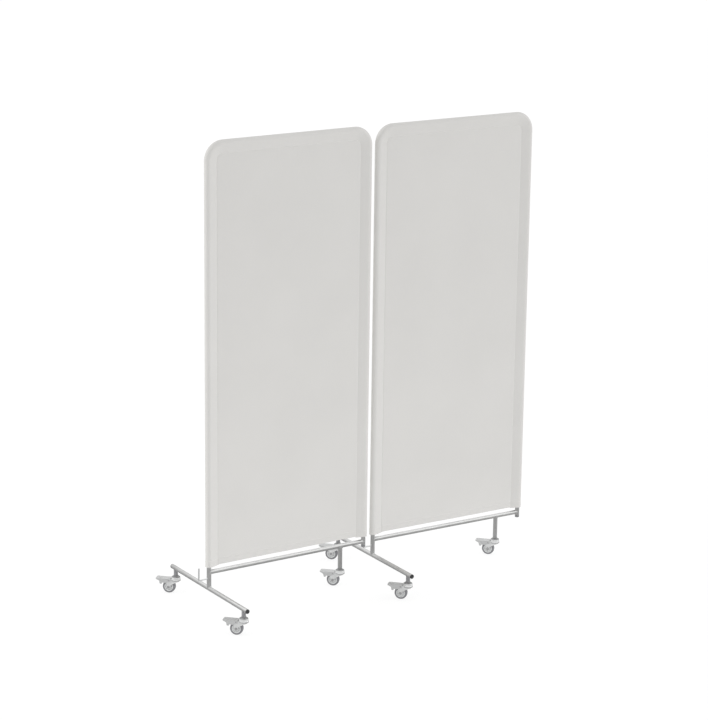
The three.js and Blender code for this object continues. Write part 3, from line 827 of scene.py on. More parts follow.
def arch_tube(tubes):
    """Left post, top bar and right post in one bent tube, welded on the foot."""
    bend_height = TOP_HEIGHT - tubes.bend_radius
    far_bend = POST_SPACING - tubes.bend_radius
    foot = Vector((0, 0, FOOT_HEIGHT))
    mesh, end = tube_start(tubes, Matrix.Translation(foot))
    end = push(mesh, end, UP * (bend_height - FOOT_HEIGHT))
    end = sweep(mesh, end, (tubes.bend_radius, 0, bend_height), tubes.bend_steps)
    end = push(mesh, end, X_AXIS * (far_bend - tubes.bend_radius))
    end = sweep(mesh, end, (far_bend, 0, bend_height), tubes.bend_steps)
    push(mesh, end, UP * (SOCKET_TOP + tubes.joint_gap - bend_height))
    mesh = combined(face_out(mesh), [tube_cut(tubes, foot, Y_AXIS)])
    return gather(mesh, tube_bead(tubes, UP, Y_AXIS, foot))


def rail_tube(tubes):
    left, right = Vector((0, 0, RAIL_HEIGHT)), Vector((POST_SPACING, 0, RAIL_HEIGHT))
    posts = [tube_cut(tubes, place, UP) for place in (left, right)]
    mesh = combined(straight_tube(tubes, left, right), posts)
    return gather(mesh, tube_bead(tubes, X_AXIS, UP, left), tube_bead(tubes, -X_AXIS, UP, right))


def foot_tube(tubes):
    return straight_tube(tubes, (0, -FOOT_TUBE_HALF, FOOT_HEIGHT), (0, FOOT_TUBE_HALF, FOOT_HEIGHT))


def leg_tube(tubes):
    rail = Vector((LEG_X, 0, RAIL_HEIGHT))
    mesh = combined(straight_tube(tubes, (LEG_X, 0, LEG_BOTTOM), rail), [tube_cut(tubes, rail, X_AXIS)])
    return gather(mesh, tube_bead(tubes, -UP, X_AXIS, rail))


def socket_tube(tubes):
    return straight_tube(tubes, (POST_SPACING, 0, SOCKET_BOTTOM), (POST_SPACING, 0, SOCKET_TOP))


class FrameTubes(Operator):
    """Models the bent arch, socket, rail, foot and leg tubes of both screens"""

    bl_idname = "ward_screen.frame_tubes"
    bl_label = "Frame Tubes"

    def execute(self, context):
        makers = {
            "frame_tube": arch_tube,
            "socket_tube": socket_tube,
            "bottom_rail": rail_tube,
            "foot_tube": foot_tube,
            "leg_tube": leg_tube,
        }
        tubes = sizes("tubes")
        for screen in SCREENS:
            for part, maker in makers.items():
                screen_piece(maker(tubes), screen, f"{part}_plated", part, "frame_steel", "satin_steel")
        return {"FINISHED"}


# Cloth covers, in the screen's own frame

def sleeve_section(cover, tubes):
    """Half of the sleeve's section, from the bend's centre to the fold: (outward, half gap, flat) points."""
    panel_shares = (0.0, 0.3, 0.55, 0.75, 0.9)
    slope_shares = (0.05, 0.15, 0.35, 0.6, 0.82)
    seam_margin, pinch, belly_depth, arc_steps = 1.6 * MM, 0.8, 0.5 * MM, 8
    reach, radius, inner = cover.seam_reach, cover.sleeve_radius, tubes.bend_radius
    places = [(inner - reach) * share - inner for share in panel_shares]
    points = [(out, cover.layer_half, out) for out in places]
    points.append((-reach - seam_margin, cover.layer_half * pinch, -reach - seam_margin))
    points.append((-reach, cover.seam_half, -reach))
    touch = math.pi - math.acos(radius / reach)
    rise, run = radius * math.sin(touch) - cover.seam_half, radius * math.cos(touch) + reach
    slope = math.hypot(run, rise)
    for share in slope_shares:
        belly = belly_depth * math.sin(math.pi * share)
        points.append((run * share - reach, cover.seam_half + rise * share + belly, slope * share - reach))
    for step in range(arc_steps + 1):
        angle = touch * (1 - step / arc_steps)
        flat = slope - reach + radius * (touch - angle)
        points.append((radius * math.cos(angle), radius * math.sin(angle), flat))
    return points


def row_heights(cover, low, high):
    """Heights of the cloth's rows: close at the hem, even above it."""
    hem_shares = (0.0, 0.06, 0.5, 0.93, 1.0, 1.12)
    heights = [low + cover.hem_depth * share for share in hem_shares]
    start = heights[-1]
    rows = round((high - start) / cover.row_step)
    return heights + [start + (high - start) * (row + 1) / rows for row in range(rows)]


def cover_sheet(cover, tubes):
    """The sewn cover as one sheet: front and back panels joined by the sleeve, open at the bottom."""
    mesh = bmesh.new()
    flat_layer = mesh.verts.layers.float.new("flat_out")
    bend_height = TOP_HEIGHT - tubes.bend_radius
    far_bend = POST_SPACING - tubes.bend_radius
    section = sleeve_section(cover, tubes)
    width = far_bend - tubes.bend_radius
    square_column = cover.row_step * 1.02
    columns = round(width / square_column)
    corner_steps = 14

    def add(x, y, z, flat):
        vert = mesh.verts.new((x, y, z))
        vert[flat_layer] = flat
        return vert

    def strip(post, outward, height):
        """The whole section round a post, from the front panel over the fold to the back panel."""
        front = [add(post + outward * out, -half, height, flat) for out, half, flat in section]
        return front + [add(post + outward * out, half, height, flat) for out, half, flat in section[-2::-1]]

    left = strip(0, -1, SLEEVE_BOTTOM)
    right = strip(POST_SPACING, 1, SLEEVE_BOTTOM)
    xs = [tubes.bend_radius + width * step / columns for step in range(1, columns)]
    front, back = [
        [add(x, side * cover.layer_half, SLEEVE_BOTTOM, section[0][2]) for x in xs] for side in (-1, 1)
    ]
    loop = left[::-1] + front + right + back[::-1]
    edges = [mesh.edges.new(pair) for pair in zip(loop, loop[1:] + loop[:1])]
    heights = row_heights(cover, SLEEVE_BOTTOM, bend_height)
    for low, high in zip(heights, heights[1:]):
        edges = pull(mesh, edges, UP * (high - low))[0]
    crown = strip(0, -1, bend_height)
    parts = crown + [mesh.edges.new(pair) for pair in zip(crown, crown[1:])]

    def turn_corner(parts, centre_x):
        return bmesh.ops.spin(mesh, geom=parts, cent=(centre_x, 0, bend_height), axis=Y_AXIS,
                              angle=QUARTER_TURN, steps=corner_steps)["geom_last"]

    parts = turn_corner(parts, tubes.bend_radius)
    for _ in range(columns):
        edges, corners = pull(mesh, edges_of(parts), X_AXIS * (width / columns))
        parts = edges + corners
    turn_corner(parts, far_bend)
    bmesh.ops.remove_doubles(mesh, verts=mesh.verts, dist=SHEET_WELD)
    return face_out(mesh)


def seam_place(co, cover, tubes, flat):
    """A point's offset from the seam, its run along the frame, and its place in the flat cut."""
    bend, far_bend = tubes.bend_radius, POST_SPACING - tubes.bend_radius
    bend_height = TOP_HEIGHT - bend
    offset = flat + cover.seam_reach
    quarter_run = bend * math.pi / 2
    if co.z <= bend_height + SAME_ROW:
        if co.x < bend:
            return offset, co.z, Vector((-flat, co.z))
        if co.x > far_bend:
            return offset, co.z, Vector((POST_SPACING + flat, co.z))
        return -bend, co.z, Vector((co.x, co.z))
    if co.x < bend or co.x > far_bend:
        centre = bend if co.x < bend else far_bend
        outward = Vector((co.x - centre, co.z - bend_height))
        share = abs(math.atan2(outward.y, abs(outward.x))) / QUARTER_TURN
        place = Vector((centre, bend_height)) + outward.normalized() * (bend + flat)
        return offset, bend_height + quarter_run * share, place
    return offset, bend_height + quarter_run + co.x, Vector((co.x, TOP_HEIGHT + flat))


def ramp(distance, reach):
    """Rises evenly from 0 to 1 over a reach."""
    return min(1, max(0, distance / reach))


def slack(co, side, seed, cover, from_seam, on_panel):
    """Slow waves in the stretched cloth, which die out at the seam and hardly show on the sleeve."""
    across, up = 2.6, 1.7
    second_pitch, second_share, sleeve_share, fade = 2.7, 0.4, 0.12, 60 * MM
    place = Vector((co.x * across, co.z * up, seed + side * 7.3))
    slow = noise.noise(place) + second_share * noise.noise(place * second_pitch)
    return cover.wave * slow * (1 - math.exp(-from_seam / fade) if on_panel else sleeve_share)


def puckers(along, side, seed, cover, from_seam):
    """Short ripples along the seam."""
    coarse, fine, fine_share, fade, flat_margin = 26 * MM, 11 * MM, 0.5, 17 * MM, 3 * MM
    ripple = noise.noise(Vector((along / coarse, seed + side * 3.1, 0)))
    ripple += fine_share * noise.noise(Vector((along / fine, seed - side * 5.7, 2.0)))
    return cover.pucker * ripple * math.exp(-from_seam / fade) * ramp(from_seam, flat_margin)


def corner_folds(co, seed, cover, tubes, from_seam):
    """Fine folds that fan out from the panel's upper corners."""
    zone, fade, share, fold_count = 260 * MM, 110 * MM, 0.9, 15
    corner_margin, seam_margin = 30 * MM, 12 * MM
    if co.z <= TOP_HEIGHT - tubes.bend_radius - zone:
        return 0
    corner_x = cover.seam_reach if co.x < POST_SPACING / 2 else POST_SPACING - cover.seam_reach
    arm = Vector((co.x - corner_x, co.z - (TOP_HEIGHT - cover.seam_reach)))
    bearing = math.atan2(abs(arm.y), abs(arm.x))
    folds = cover.pucker * share * math.sin(bearing * fold_count + seed) * math.exp(-arm.length / fade)
    return folds * ramp(arm.length, corner_margin) * ramp(from_seam, seam_margin)


def hem_swell(above, cover):
    """How far the doubled hem stands out, with a groove at its stitches."""
    groove_half, groove_depth = 0.5 * MM, 0.15 * MM
    if abs(above - cover.hem_depth) < groove_half:
        return -groove_depth
    return cover.hem_half if above < cover.hem_depth else 0


def soften_sheet(mesh, cover, tubes, seed):
    """Gives the stretched cloth its waves, puckers, drawn corners and hem, and its flat coordinates."""
    flat_layer = mesh.verts.layers.float["flat_out"]
    offset_layer, along_layer, hem_layer = [
        mesh.verts.layers.float.new(name) for name in ("seam_offset", "seam_along", "hem_offset")
    ]
    uv_layer = mesh.loops.layers.uv.new("flat_cut")
    mesh.normal_update()
    flats, shifts = {}, {}
    seam_blend = 6 * MM
    for vert in mesh.verts:
        co = vert.co
        offset, along, flats[vert] = seam_place(co, cover, tubes, vert[flat_layer])
        above = co.z - SLEEVE_BOTTOM
        vert[offset_layer], vert[along_layer], vert[hem_layer] = offset, along, above - cover.hem_depth
        side = 1 if co.y > 0 else -1
        on_panel = offset < 0
        from_seam = abs(offset)
        if on_panel:
            sideways = min(co.x, POST_SPACING - co.x) - cover.seam_reach
            from_seam = max(0, min(sideways, TOP_HEIGHT - cover.seam_reach - co.z))
        depth = slack(co, side, seed, cover, from_seam, on_panel)
        depth += puckers(along, side, seed, cover, from_seam)
        if on_panel:
            depth += corner_folds(co, seed, cover, tubes, from_seam)
        shifts[vert] = (vert.normal * (depth + hem_swell(above, cover)), ramp(-offset, seam_blend), above)
    hem_zone, sag_pitch, sag_depth = cover.hem_depth * 2.2, 9, 0.8 * MM
    for vert, (shift, inside, above) in shifts.items():
        vert.co += shift
        near_hem = max(0, 1 - above / hem_zone)
        sag = noise.noise(Vector((vert.co.x * sag_pitch, seed, 1.0))) * sag_depth * inside
        vert.co.z += near_hem * (cover.hem_lift * inside + sag)
    for face in mesh.faces:
        for loop in face.loops:
            loop[uv_layer].uv = flats[loop.vert]
    return mesh


def solidify_cloth(piece, thickness):
    """Gives the sheet its thickness, inwards, so that the outer face stays where it is."""
    wall = piece.modifiers.new("cloth", "SOLIDIFY")
    wall.thickness = thickness
    wall.offset = -1
    wall.use_even_offset = True


class ClothCovers(Operator):
    """Models the sewn cover of both screens: two stretched panels and the sleeve round the frame"""

    bl_idname = "ward_screen.cloth_covers"
    bl_label = "Cloth Covers"

    def execute(self, context):
        cover, tubes = sizes("cover"), sizes("tubes")
        for screen, seed in zip(SCREENS, (11.7, 34.8)):
            sheet = soften_sheet(cover_sheet(cover, tubes), cover, tubes, seed)
            piece = screen_piece(sheet, screen, "sewn_cover", "cloth_cover", "cover_cloth", "woven_cloth",
                                 smooth_angle=math.radians(60))
            solidify_cloth(piece, cover.cloth)
        return {"FINISHED"}


# Hinge fittings and plugs, in the screen's own frame

def hinge_peg(hinge, tubes):
    """An L-shaped rod: out of the post, round a tight bend and up to a chamfered tip."""
    mesh = bmesh.new()
    start = Matrix.Translation((0, 0, hinge.arm_height)) @ Matrix.Rotation(QUARTER_TURN, 4, "Y")
    bmesh.ops.create_circle(mesh, segments=28, radius=hinge.peg_radius, cap_ends=True, matrix=start)
    corner = -hinge.peg_reach + hinge.bend_radius
    end = push(mesh, mesh.faces[:], X_AXIS * corner)
    centre = (corner, 0, hinge.arm_height + hinge.bend_radius)
    end = sweep(mesh, end, centre, steps=12)
    tip_chamfer = hinge.peg_radius / 3
    end = push(mesh, end, UP * (hinge.peg_top - tip_chamfer - centre[2]))
    end = push(mesh, end, UP * tip_chamfer)
    rim = list({vert for face in end for vert in face.verts})
    shrink = (hinge.peg_radius - tip_chamfer) / hinge.peg_radius
    tip = Vector((-hinge.peg_reach, 0, hinge.peg_top))
    bmesh.ops.scale(mesh, vec=(shrink, shrink, 1), verts=rim, space=Matrix.Translation(-tip))
    place = branch_matrix(-X_AXIS, UP, Vector((0, 0, hinge.arm_height)))
    return gather(face_out(mesh), weld_bead(hinge.peg_radius, tubes.radius, tubes.bead_radius, place))


def spigot_radius(tubes):
    """Radius of a plastic part that is pressed into a tube."""
    return tubes.radius - tubes.wall - 0.3 * MM


def socket_bush(hinge, tubes):
    """A flanged plastic bush with a lead-in to its bore."""
    radius, bore, spigot = tubes.radius, hinge.bush_bore, spigot_radius(tubes)
    flange, top = hinge.flange_height, hinge.flange_height + hinge.spigot
    lead_in, mouth_round, flange_round = 1.8 * MM, 1.2 * MM, 0.3 * MM
    groove_depth, groove_low, groove_high, groove_slope = 0.5 * MM, 3 * MM, 1.6 * MM, 0.4 * MM
    bore_round = 0.4 * MM
    mesh = turned([
        (bore + lead_in, 0),
        (radius, 0, mouth_round),
        (radius, flange - groove_low),
        (radius - groove_depth, flange - groove_low + groove_slope),
        (radius - groove_depth, flange - groove_high - groove_slope),
        (radius, flange - groove_high),
        (radius, flange, flange_round),
        (spigot, flange),
        (spigot, top, 2 * flange_round),
        (bore, top, bore_round),
        (bore, lead_in, 2 * bore_round),
    ], closed=True)
    return moved(mesh, Matrix.Translation((POST_SPACING, 0, BUSH_BOTTOM)))


def foot_plug(hinge, tubes):
    """A plug with a domed face and a sunk middle, pressed into the foot tube's end."""
    radius, face, spigot = tubes.radius, hinge.plug_face, spigot_radius(tubes)
    dome, gap, small_round = 1.4 * MM, 0.3 * MM, 0.3 * MM
    sunk_depth, sunk_rim, sunk_floor = 0.5 * MM, 0.62 * radius, 0.56 * radius
    return turned([
        (0, -hinge.plug_spigot),
        (spigot, -hinge.plug_spigot, 1 * MM),
        (spigot, gap),
        (radius, gap, 0.2 * MM),
        (radius, face, dome),
        (sunk_rim, face, small_round),
        (sunk_floor, face - sunk_depth, small_round),
        (0, face - sunk_depth),
    ], closed=False)


def stem_collar(castor, tubes):
    """A moulded collar between the swivel head and the foot, flared below and ringed above."""
    base = castor.head_top + castor.fit_gap
    bore = castor.stem_radius + castor.fit_gap
    edge, waist, foot = castor.edge, castor.collar_radius, castor.collar_foot
    ring_share = 0.6
    ring = base + (FOOT_HEIGHT - tubes.radius - base) * ring_share
    body = turned([
        (bore, base),
        (foot, base, edge),
        (foot, base + 2 * edge, edge),
        (waist, base + 6 * edge, 3 * edge),
        (waist, ring),
        (waist - edge, ring + edge),
        (waist - edge, ring + 3 * edge),
        (waist, ring + 4 * edge),
        (waist, FOOT_HEIGHT),
        (bore, FOOT_HEIGHT),
    ], closed=True)
    reach = Y_AXIS * tubes.radius * 2
    centre = UP * FOOT_HEIGHT
    foot_space = rod(tubes.radius + castor.fit_gap, centre - reach, centre + reach, sides=64)
    return combined(body, [("DIFFERENCE", foot_space)])


class HingeFittings(Operator):
    """Models the lift-off peg and the socket's bush of both screens"""

    bl_idname = "ward_screen.hinge_fittings"
    bl_label = "Hinge Fittings"

    def execute(self, context):
        hinge, tubes = sizes("hinge"), sizes("tubes")
        for screen in SCREENS:
            screen_piece(hinge_peg(hinge, tubes), screen, "bent_peg", "hinge_peg", "peg_zinc", "peg_zinc")
            screen_piece(socket_bush(hinge, tubes), screen, "flanged_bush", "socket_bush", "dark_plastic",
                         "collar_plastic")
        return {"FINISHED"}


class FootFittings(Operator):
    """Models the plugs in the feet and the collars over the castors' stems"""

    bl_idname = "ward_screen.foot_fittings"
    bl_label = "Foot Plugs and Collars"

    def execute(self, context):
        hinge, tubes, castor = sizes("hinge"), sizes("tubes"), sizes("castor")
        for screen in SCREENS:
            for end, side in (("front", -1), ("rear", 1)):
                mouth = Matrix.Translation((0, side * FOOT_TUBE_HALF, FOOT_HEIGHT))
                plug = moved(foot_plug(hinge, tubes), mouth @ Matrix.Rotation(-QUARTER_TURN * side, 4, "X"))
                screen_piece(plug, screen, f"{end}_domed_plug", f"{end}_foot_plug", "dark_plastic",
                             "plug_plastic")
                collar = moved(stem_collar(castor, tubes), Matrix.Translation((0, side * STEM_Y, 0)))
                screen_piece(collar, screen, f"{end}_ringed_collar", f"{end}_stem_collar", "collar_plastic",
                             "collar_plastic")
        return {"FINISHED"}


# Castors, in the castor's own frame

def crown_underside(castor):
    return 2 * WHEEL_RADIUS + castor.side_gap


def fork_half_width(castor):
    return castor.wheel_width / 2 + castor.side_gap + castor.plate


def cross_rod(castor, radius, height, reach):
    """A rod across the castor over the wheel's axis."""
    return rod(radius, (-castor.trail, -reach, height), (-castor.trail, reach, height))


def fold_edges(mesh, height, half, radius):
    """Rounds the long top edges of a pressing, where its plate is folded down."""
    def on_fold(vert):
        return abs(vert.co.z - height) < ON_PLANE and abs(abs(vert.co.y) - half) < ON_PLANE

    folds = [edge for edge in mesh.edges
             if all(on_fold(vert) for vert in edge.verts) and edge.verts[0].co.y * edge.verts[1].co.y > 0]
    bevel(mesh, folds, radius, CORNER_SEGMENTS)


def swivel_head(castor, stem_radius):
    """Stem, coned cap with its rolled rim, kingpin and riveted head in one turned piece."""
    rivet_top = crown_underside(castor) - castor.fit_gap
    rim_bottom = castor.rim_top - castor.rim_depth
    edge, rim = castor.edge, castor.rim_radius
    return turned([
        (0, rivet_top - 3 * edge),
        (castor.rivet, rivet_top - 3 * edge, 2 * edge),
        (castor.rivet, rivet_top),
        (castor.kingpin, rivet_top),
        (castor.kingpin, rim_bottom),
        (rim, rim_bottom, edge),
        (rim, rim_bottom + 3 * edge, edge),
        (rim - edge, rim_bottom + 3.5 * edge, edge / 2),
        (rim - edge, castor.rim_top, 3 * edge),
        (castor.head_neck, castor.head_top, 2 * edge),
        (stem_radius, castor.head_top),
        (stem_radius, STEM_TOP, 2 * edge),
        (0, STEM_TOP),
    ], closed=False)


def fork(castor):
    """A pressed fork: a round crown over the wheel and two cheeks that carry the axle and the pedal's pin.

    The wall of the crown below its step gets the second material, a darker zinc that is painted shade under
    the head's rim.
    """
    under = crown_underside(castor)
    crown_top = castor.rim_top - castor.rim_depth - castor.running_gap
    cheek_top = castor.pin_height + castor.ear
    outer = fork_half_width(castor)
    inner = outer - castor.plate
    radius, shoulder, trail, edge = castor.crown_radius, castor.crown_shoulder, castor.trail, castor.edge
    shaded_wall_top = crown_top - shoulder - 4 * edge
    bore = castor.kingpin + castor.running_gap
    crown = turned([
        (bore, under),
        (radius, under, edge),
        (radius, shaded_wall_top, edge),
        (radius - edge, crown_top - shoulder - 3 * edge, edge / 2),
        (radius - edge, crown_top - shoulder, 3 * edge),
        (radius - shoulder, crown_top, 2 * edge),
        (bore, crown_top),
    ], closed=True)
    boss, ear, back = castor.axle_boss, castor.ear, trail + castor.cheek_back
    boss_round, ear_round = 0.97 * boss, 0.9 * ear
    outline = [
        (radius, cheek_top),
        (radius, under, 2 * edge),
        (0, castor.cheek_shoulder, boss),
        (boss - trail, WHEEL_RADIUS + boss, boss / 2),
        (boss - trail, WHEEL_RADIUS - boss, boss_round),
        (-boss - trail, WHEEL_RADIUS - boss, boss_round),
        (-boss - trail, WHEEL_RADIUS + boss / 2, boss / 2),
        (-back, castor.cheek_back_height, ear),
        (-ear - trail, castor.pin_height, ear / 2),
        (-ear - trail, cheek_top, ear_round),
    ]
    body = slab(outline, -outer, outer)
    fold_edges(body, cheek_top, outer, castor.fold)
    back_end, far, head_top = -2 * back - radius, 2 * outer, castor.head_top
    nose = combined(
        rod(radius, (0, 0, 0), (0, 0, head_top), sides=96),
        [("UNION", block((back_end, -far, 0), (0, far, head_top)))],
    )
    cuts = (
        block((back_end, -inner, 0), (2 * radius, inner, under)),
        block((back_end, -inner, 0), (-radius, inner, head_top)),
        cross_rod(castor, castor.axle_radius + castor.fit_gap, WHEEL_RADIUS, far),
        cross_rod(castor, castor.pin_radius + castor.fit_gap, castor.pin_height, far),
        rod(bore, (0, 0, 0), (0, 0, head_top), sides=48),
    )
    mesh = combined(body, [("INTERSECT", nose), ("UNION", crown), *(("DIFFERENCE", cut) for cut in cuts)])
    bmesh.ops.bisect_plane(mesh, geom=mesh.verts[:] + mesh.edges[:] + mesh.faces[:], dist=ON_PLANE,
                           plane_co=(0, 0, shaded_wall_top), plane_no=(0, 0, 1))
    mesh.normal_update()
    # The crown's upright wall below the step gets the darker zinc, painted shade under the head's rim.
    upright = 0.1
    for face in mesh.faces:
        on_wall = all(abs(vert.co.xy.length - radius) < edge / 4 for vert in face.verts)
        if on_wall and abs(face.normal.z) < upright and face.calc_center_median().z < shaded_wall_top:
            face.material_index = 1
    return mesh


def axle_bolt(castor):
    """The axle with a hexagon head on one side and a hexagon lock nut on the other."""
    inner = fork_half_width(castor) + castor.fit_gap
    outer = inner + castor.bolt_height
    edge, head = castor.edge, castor.bolt_head
    chamfered = 0.88
    solids = []
    for low, high, low_share, high_share in ((-outer, -inner, chamfered, 1), (inner, outer, 1, chamfered)):
        chamfer = turned([
            (0, low),
            (head * low_share, low),
            (head + edge, low + 2 * edge),
            (head + edge, high - 2 * edge),
            (head * high_share, high),
            (0, high),
        ], closed=False)
        nut = bmesh.new()
        bmesh.ops.create_cone(nut, segments=6, radius1=head, radius2=head, depth=high - low, cap_ends=True,
                              matrix=Matrix.Translation((0, 0, (low + high) / 2)))
        solids.append(combined(nut, [("INTERSECT", chamfer)]))
    shank = rod(castor.axle_radius, (0, 0, edge - outer), (0, 0, inner + edge))
    return lay_along_y(gather(shank, *solids))


def wheel_hub(castor):
    """A moulded hub: rim, thin web, boss and ribs on both sides."""
    rim = WHEEL_RADIUS - castor.tyre_depth
    half, edge = castor.wheel_width / 2, castor.edge
    rim_half = half - 2 * edge
    web, boss, bore = castor.hub_web / 2, castor.hub_boss, castor.axle_radius + castor.running_gap
    rim_share, rib_count, rib_half = 0.4, 7, 1.5 * edge
    rim_inner = rim - castor.tyre_depth * rim_share
    side = [
        (bore, half, edge),
        (boss, half, edge),
        (boss + 2 * edge, web, 2 * edge),
        (rim_inner - edge, web, 2 * edge),
        (rim_inner, rim_half, edge),
        (rim, rim_half, edge),
    ]
    profile = side[::-1] + [(radius, -along, rounding) for radius, along, rounding in side]
    hub = turned(profile, closed=True, steps=64)
    ribs = bmesh.new()
    rib_side = half - 5 * edge
    for turn in range(rib_count):
        rib = block((boss - 2 * edge, -rib_half, -rib_side), (rim_inner + 2 * edge, rib_half, rib_side))
        round_corner_edges(rib, edge / 2, segments=2)
        gather(ribs, moved(rib, Matrix.Rotation(2 * math.pi * turn / rib_count, 4, "Z")))
    return lay_along_y(combined(hub, [("UNION", ribs)]))


def tyre(castor):
    """A grey rubber tyre with round shoulders, a crowned tread and a fine mould line."""
    edge, radius = castor.edge, WHEEL_RADIUS
    inner = radius - castor.tyre_depth + castor.fit_gap
    half = castor.wheel_width / 2 - 2 * edge
    line = edge / 4
    side = [
        (inner, half, edge),
        (radius - 8 * edge, half, 2 * edge),
        (radius - 2 * edge, half - edge, 3 * edge),
        (radius - edge, half / 2, 2 * edge),
        (radius - line, 2 * line),
    ]
    other = [(point[0], -point[1], *point[2:]) for point in side]
    return lay_along_y(turned([*other, (radius, 0), *side[::-1]], closed=True, steps=96))


def round_ended_block(far, near, half, low, high, rounding):
    """A block along X with a far end that is round in plan."""
    outline = [(-far, -half, rounding), (-far, half, rounding), (-near, half), (-near, -half)]
    return moved(slab(outline, low, high), Matrix.Rotation(QUARTER_TURN, 4, "X"))


def tread_ribs(castor, pedal, half):
    """The ribs pressed up across the pedal's tread."""
    edge, top = castor.edge, pedal.top
    rib_count, rib_half = 4, half * 0.6
    ribs = bmesh.new()
    for place in range(rib_count):
        across = pedal.bar_pitch * (place + 1.5) - pedal.tip
        rib = block((across, -rib_half, top - edge), (across + 3 * edge, rib_half, top + edge))
        gather(ribs, round_corner_edges(rib, edge * 0.8, segments=3))
    return ribs


def brake_shoe(castor, pedal, half):
    """The shoe, cut to the tyre as it lies under the pressed pedal."""
    shoe = block(
        (-pedal.shoe - pedal.shoe_length, -pedal.shoe_width / 2, WHEEL_RADIUS),
        (-pedal.shoe, pedal.shoe_width / 2, pedal.top - castor.plate / 2),
    )
    drop = castor.pin_height - WHEEL_RADIUS
    x = -castor.trail - drop * math.sin(pedal.turn)
    z = castor.pin_height - drop * math.cos(pedal.turn)
    tyre_space = rod(WHEEL_RADIUS + pedal.shoe_gap, (x, -half, z), (x, half, z), sides=96)
    return combined(shoe, [("DIFFERENCE", tyre_space)])


def brake_pedal(castor, pedal):
    """A pressed channel hinged on its pin, with a ribbed tread and the shoe that lands on the tyre."""
    edge, plate = castor.edge, castor.plate
    half = fork_half_width(castor) + castor.running_gap + plate
    top, tip, root = pedal.top, pedal.tip, pedal.root
    inner_foot = pedal.tooth - pedal.tooth_width
    outline = [
        (-root, top, 2 * edge),
        (-tip, top, pedal.tip_round),
        (-tip, top - pedal.tip_depth, 2 * edge),
        (-pedal.lip, pedal.lip_height, 6 * edge),
        (-pedal.shoulder, pedal.shoulder_height, 4 * edge),
        (-pedal.tooth, pedal.tooth_height, 2 * edge),
        (-inner_foot, pedal.tooth_height, 2 * edge),
        (pedal.tooth_slope - inner_foot, pedal.notch, 3 * edge),
        (-pedal.skirt, pedal.skirt_height, 6 * edge),
        (-root, pedal.heel_height, 4 * edge),
    ]
    shell = slab(outline, -half, half)
    fold_edges(shell, top, half, castor.fold)
    plan_round = pedal.plan_round
    mesh = combined(shell, [
        ("INTERSECT", round_ended_block(tip, -tip, half, 0, 2 * top, plan_round)),
        ("DIFFERENCE", round_ended_block(tip - plate, 0, half - plate, 0, top - plate, plan_round - plate)),
        ("UNION", tread_ribs(castor, pedal, half)),
        ("UNION", brake_shoe(castor, pedal, half)),
        ("UNION", cross_rod(castor, castor.pin_radius, castor.pin_height, half - plate / 2)),
    ])
    for side in (1, -1):
        profile = [(0, 0), (6 * edge, 0), (5 * edge, edge, edge / 2), (0, 1.4 * edge)]
        head = turned(profile, closed=False, steps=24)
        for face in head.faces:
            face.material_index = 1
        place = Matrix.Translation((-castor.trail, side * (half - edge / 5), castor.pin_height))
        gather(mesh, moved(head, place @ Matrix.Rotation(-QUARTER_TURN * side, 4, "X")))
    return mesh


def castors():
    """Each castor's name, its screen and its spot."""
    return [(f"{screen}_{spot}_castor", screen, spot) for screen in SCREENS for spot in CASTOR_SPOTS]


def copies(master, part, body_suffix, node_suffix, slot, *materials, to_wheel=False):
    """Puts one copy of a castor part at every castor, at its swivel or at its wheel's axis."""
    shift = Matrix.Translation((-sizes("castor").trail, 0, WHEEL_RADIUS)) if to_wheel else Matrix()
    for name, _, _ in castors():
        finish_piece(master.copy(), f"{name}_{part}", castor_matrix(name) @ shift, f"{name}_{body_suffix}",
                     f"{name}_{node_suffix}", slot, *materials)
    master.free()


class SwivelHeads(Operator):
    """Models the castors' stems, coned caps and kingpins"""

    bl_idname = "ward_screen.swivel_heads"
    bl_label = "Swivel Heads"

    def execute(self, context):
        castor, tubes = sizes("castor"), sizes("tubes")
        leg_fit = 0.5 * MM
        for name, screen, spot in castors():
            stem = tubes.radius - tubes.wall - leg_fit if spot == "leg" else castor.stem_radius
            finish_piece(swivel_head(castor, stem), f"{name}_turned_head", castor_matrix(name),
                         f"{screen}_screen", f"{name}_swivel_head", "castor_zinc", "head_zinc")
        return {"FINISHED"}


class CastorForks(Operator):
    """Models the castors' pressed forks"""

    bl_idname = "ward_screen.castor_forks"
    bl_label = "Castor Forks"

    def execute(self, context):
        mesh = fork(sizes("castor"))
        copies(mesh, "pressed_fork", "swivel", "fork", "castor_zinc", "bright_zinc", "race_zinc")
        return {"FINISHED"}


class CastorAxles(Operator):
    """Models the castors' axle bolts and nuts"""

    bl_idname = "ward_screen.castor_axles"
    bl_label = "Castor Axles"

    def execute(self, context):
        mesh = axle_bolt(sizes("castor"))
        copies(mesh, "axle_bolt", "swivel", "axle", "axle_steel", "dull_steel", to_wheel=True)
        return {"FINISHED"}


class CastorWheels(Operator):
    """Models the castors' ribbed hubs and rubber tyres"""

    bl_idname = "ward_screen.castor_wheels"
    bl_label = "Castor Wheels"

    def execute(self, context):
        hub, rubber = wheel_hub(sizes("castor")), tyre(sizes("castor"))
        copies(hub, "ribbed_hub", "wheel", "wheel_hub", "hub_plastic", "hub_plastic", to_wheel=True)
        copies(rubber, "moulded_tyre", "wheel", "tyre", "tyre_rubber", "tyre_rubber", to_wheel=True)
        return {"FINISHED"}


class BrakePedals(Operator):
    """Models the castors' brake pedals with their shoes and pins"""

    bl_idname = "ward_screen.brake_pedals"
    bl_label = "Brake Pedals"

    def execute(self, context):
        mesh = brake_pedal(sizes("castor"), sizes("pedal"))
        copies(mesh, "pressed_pedal", "pedal", "brake_pedal", "castor_zinc", "pedal_zinc", "dull_steel")
        return {"FINISHED"}


# Stage

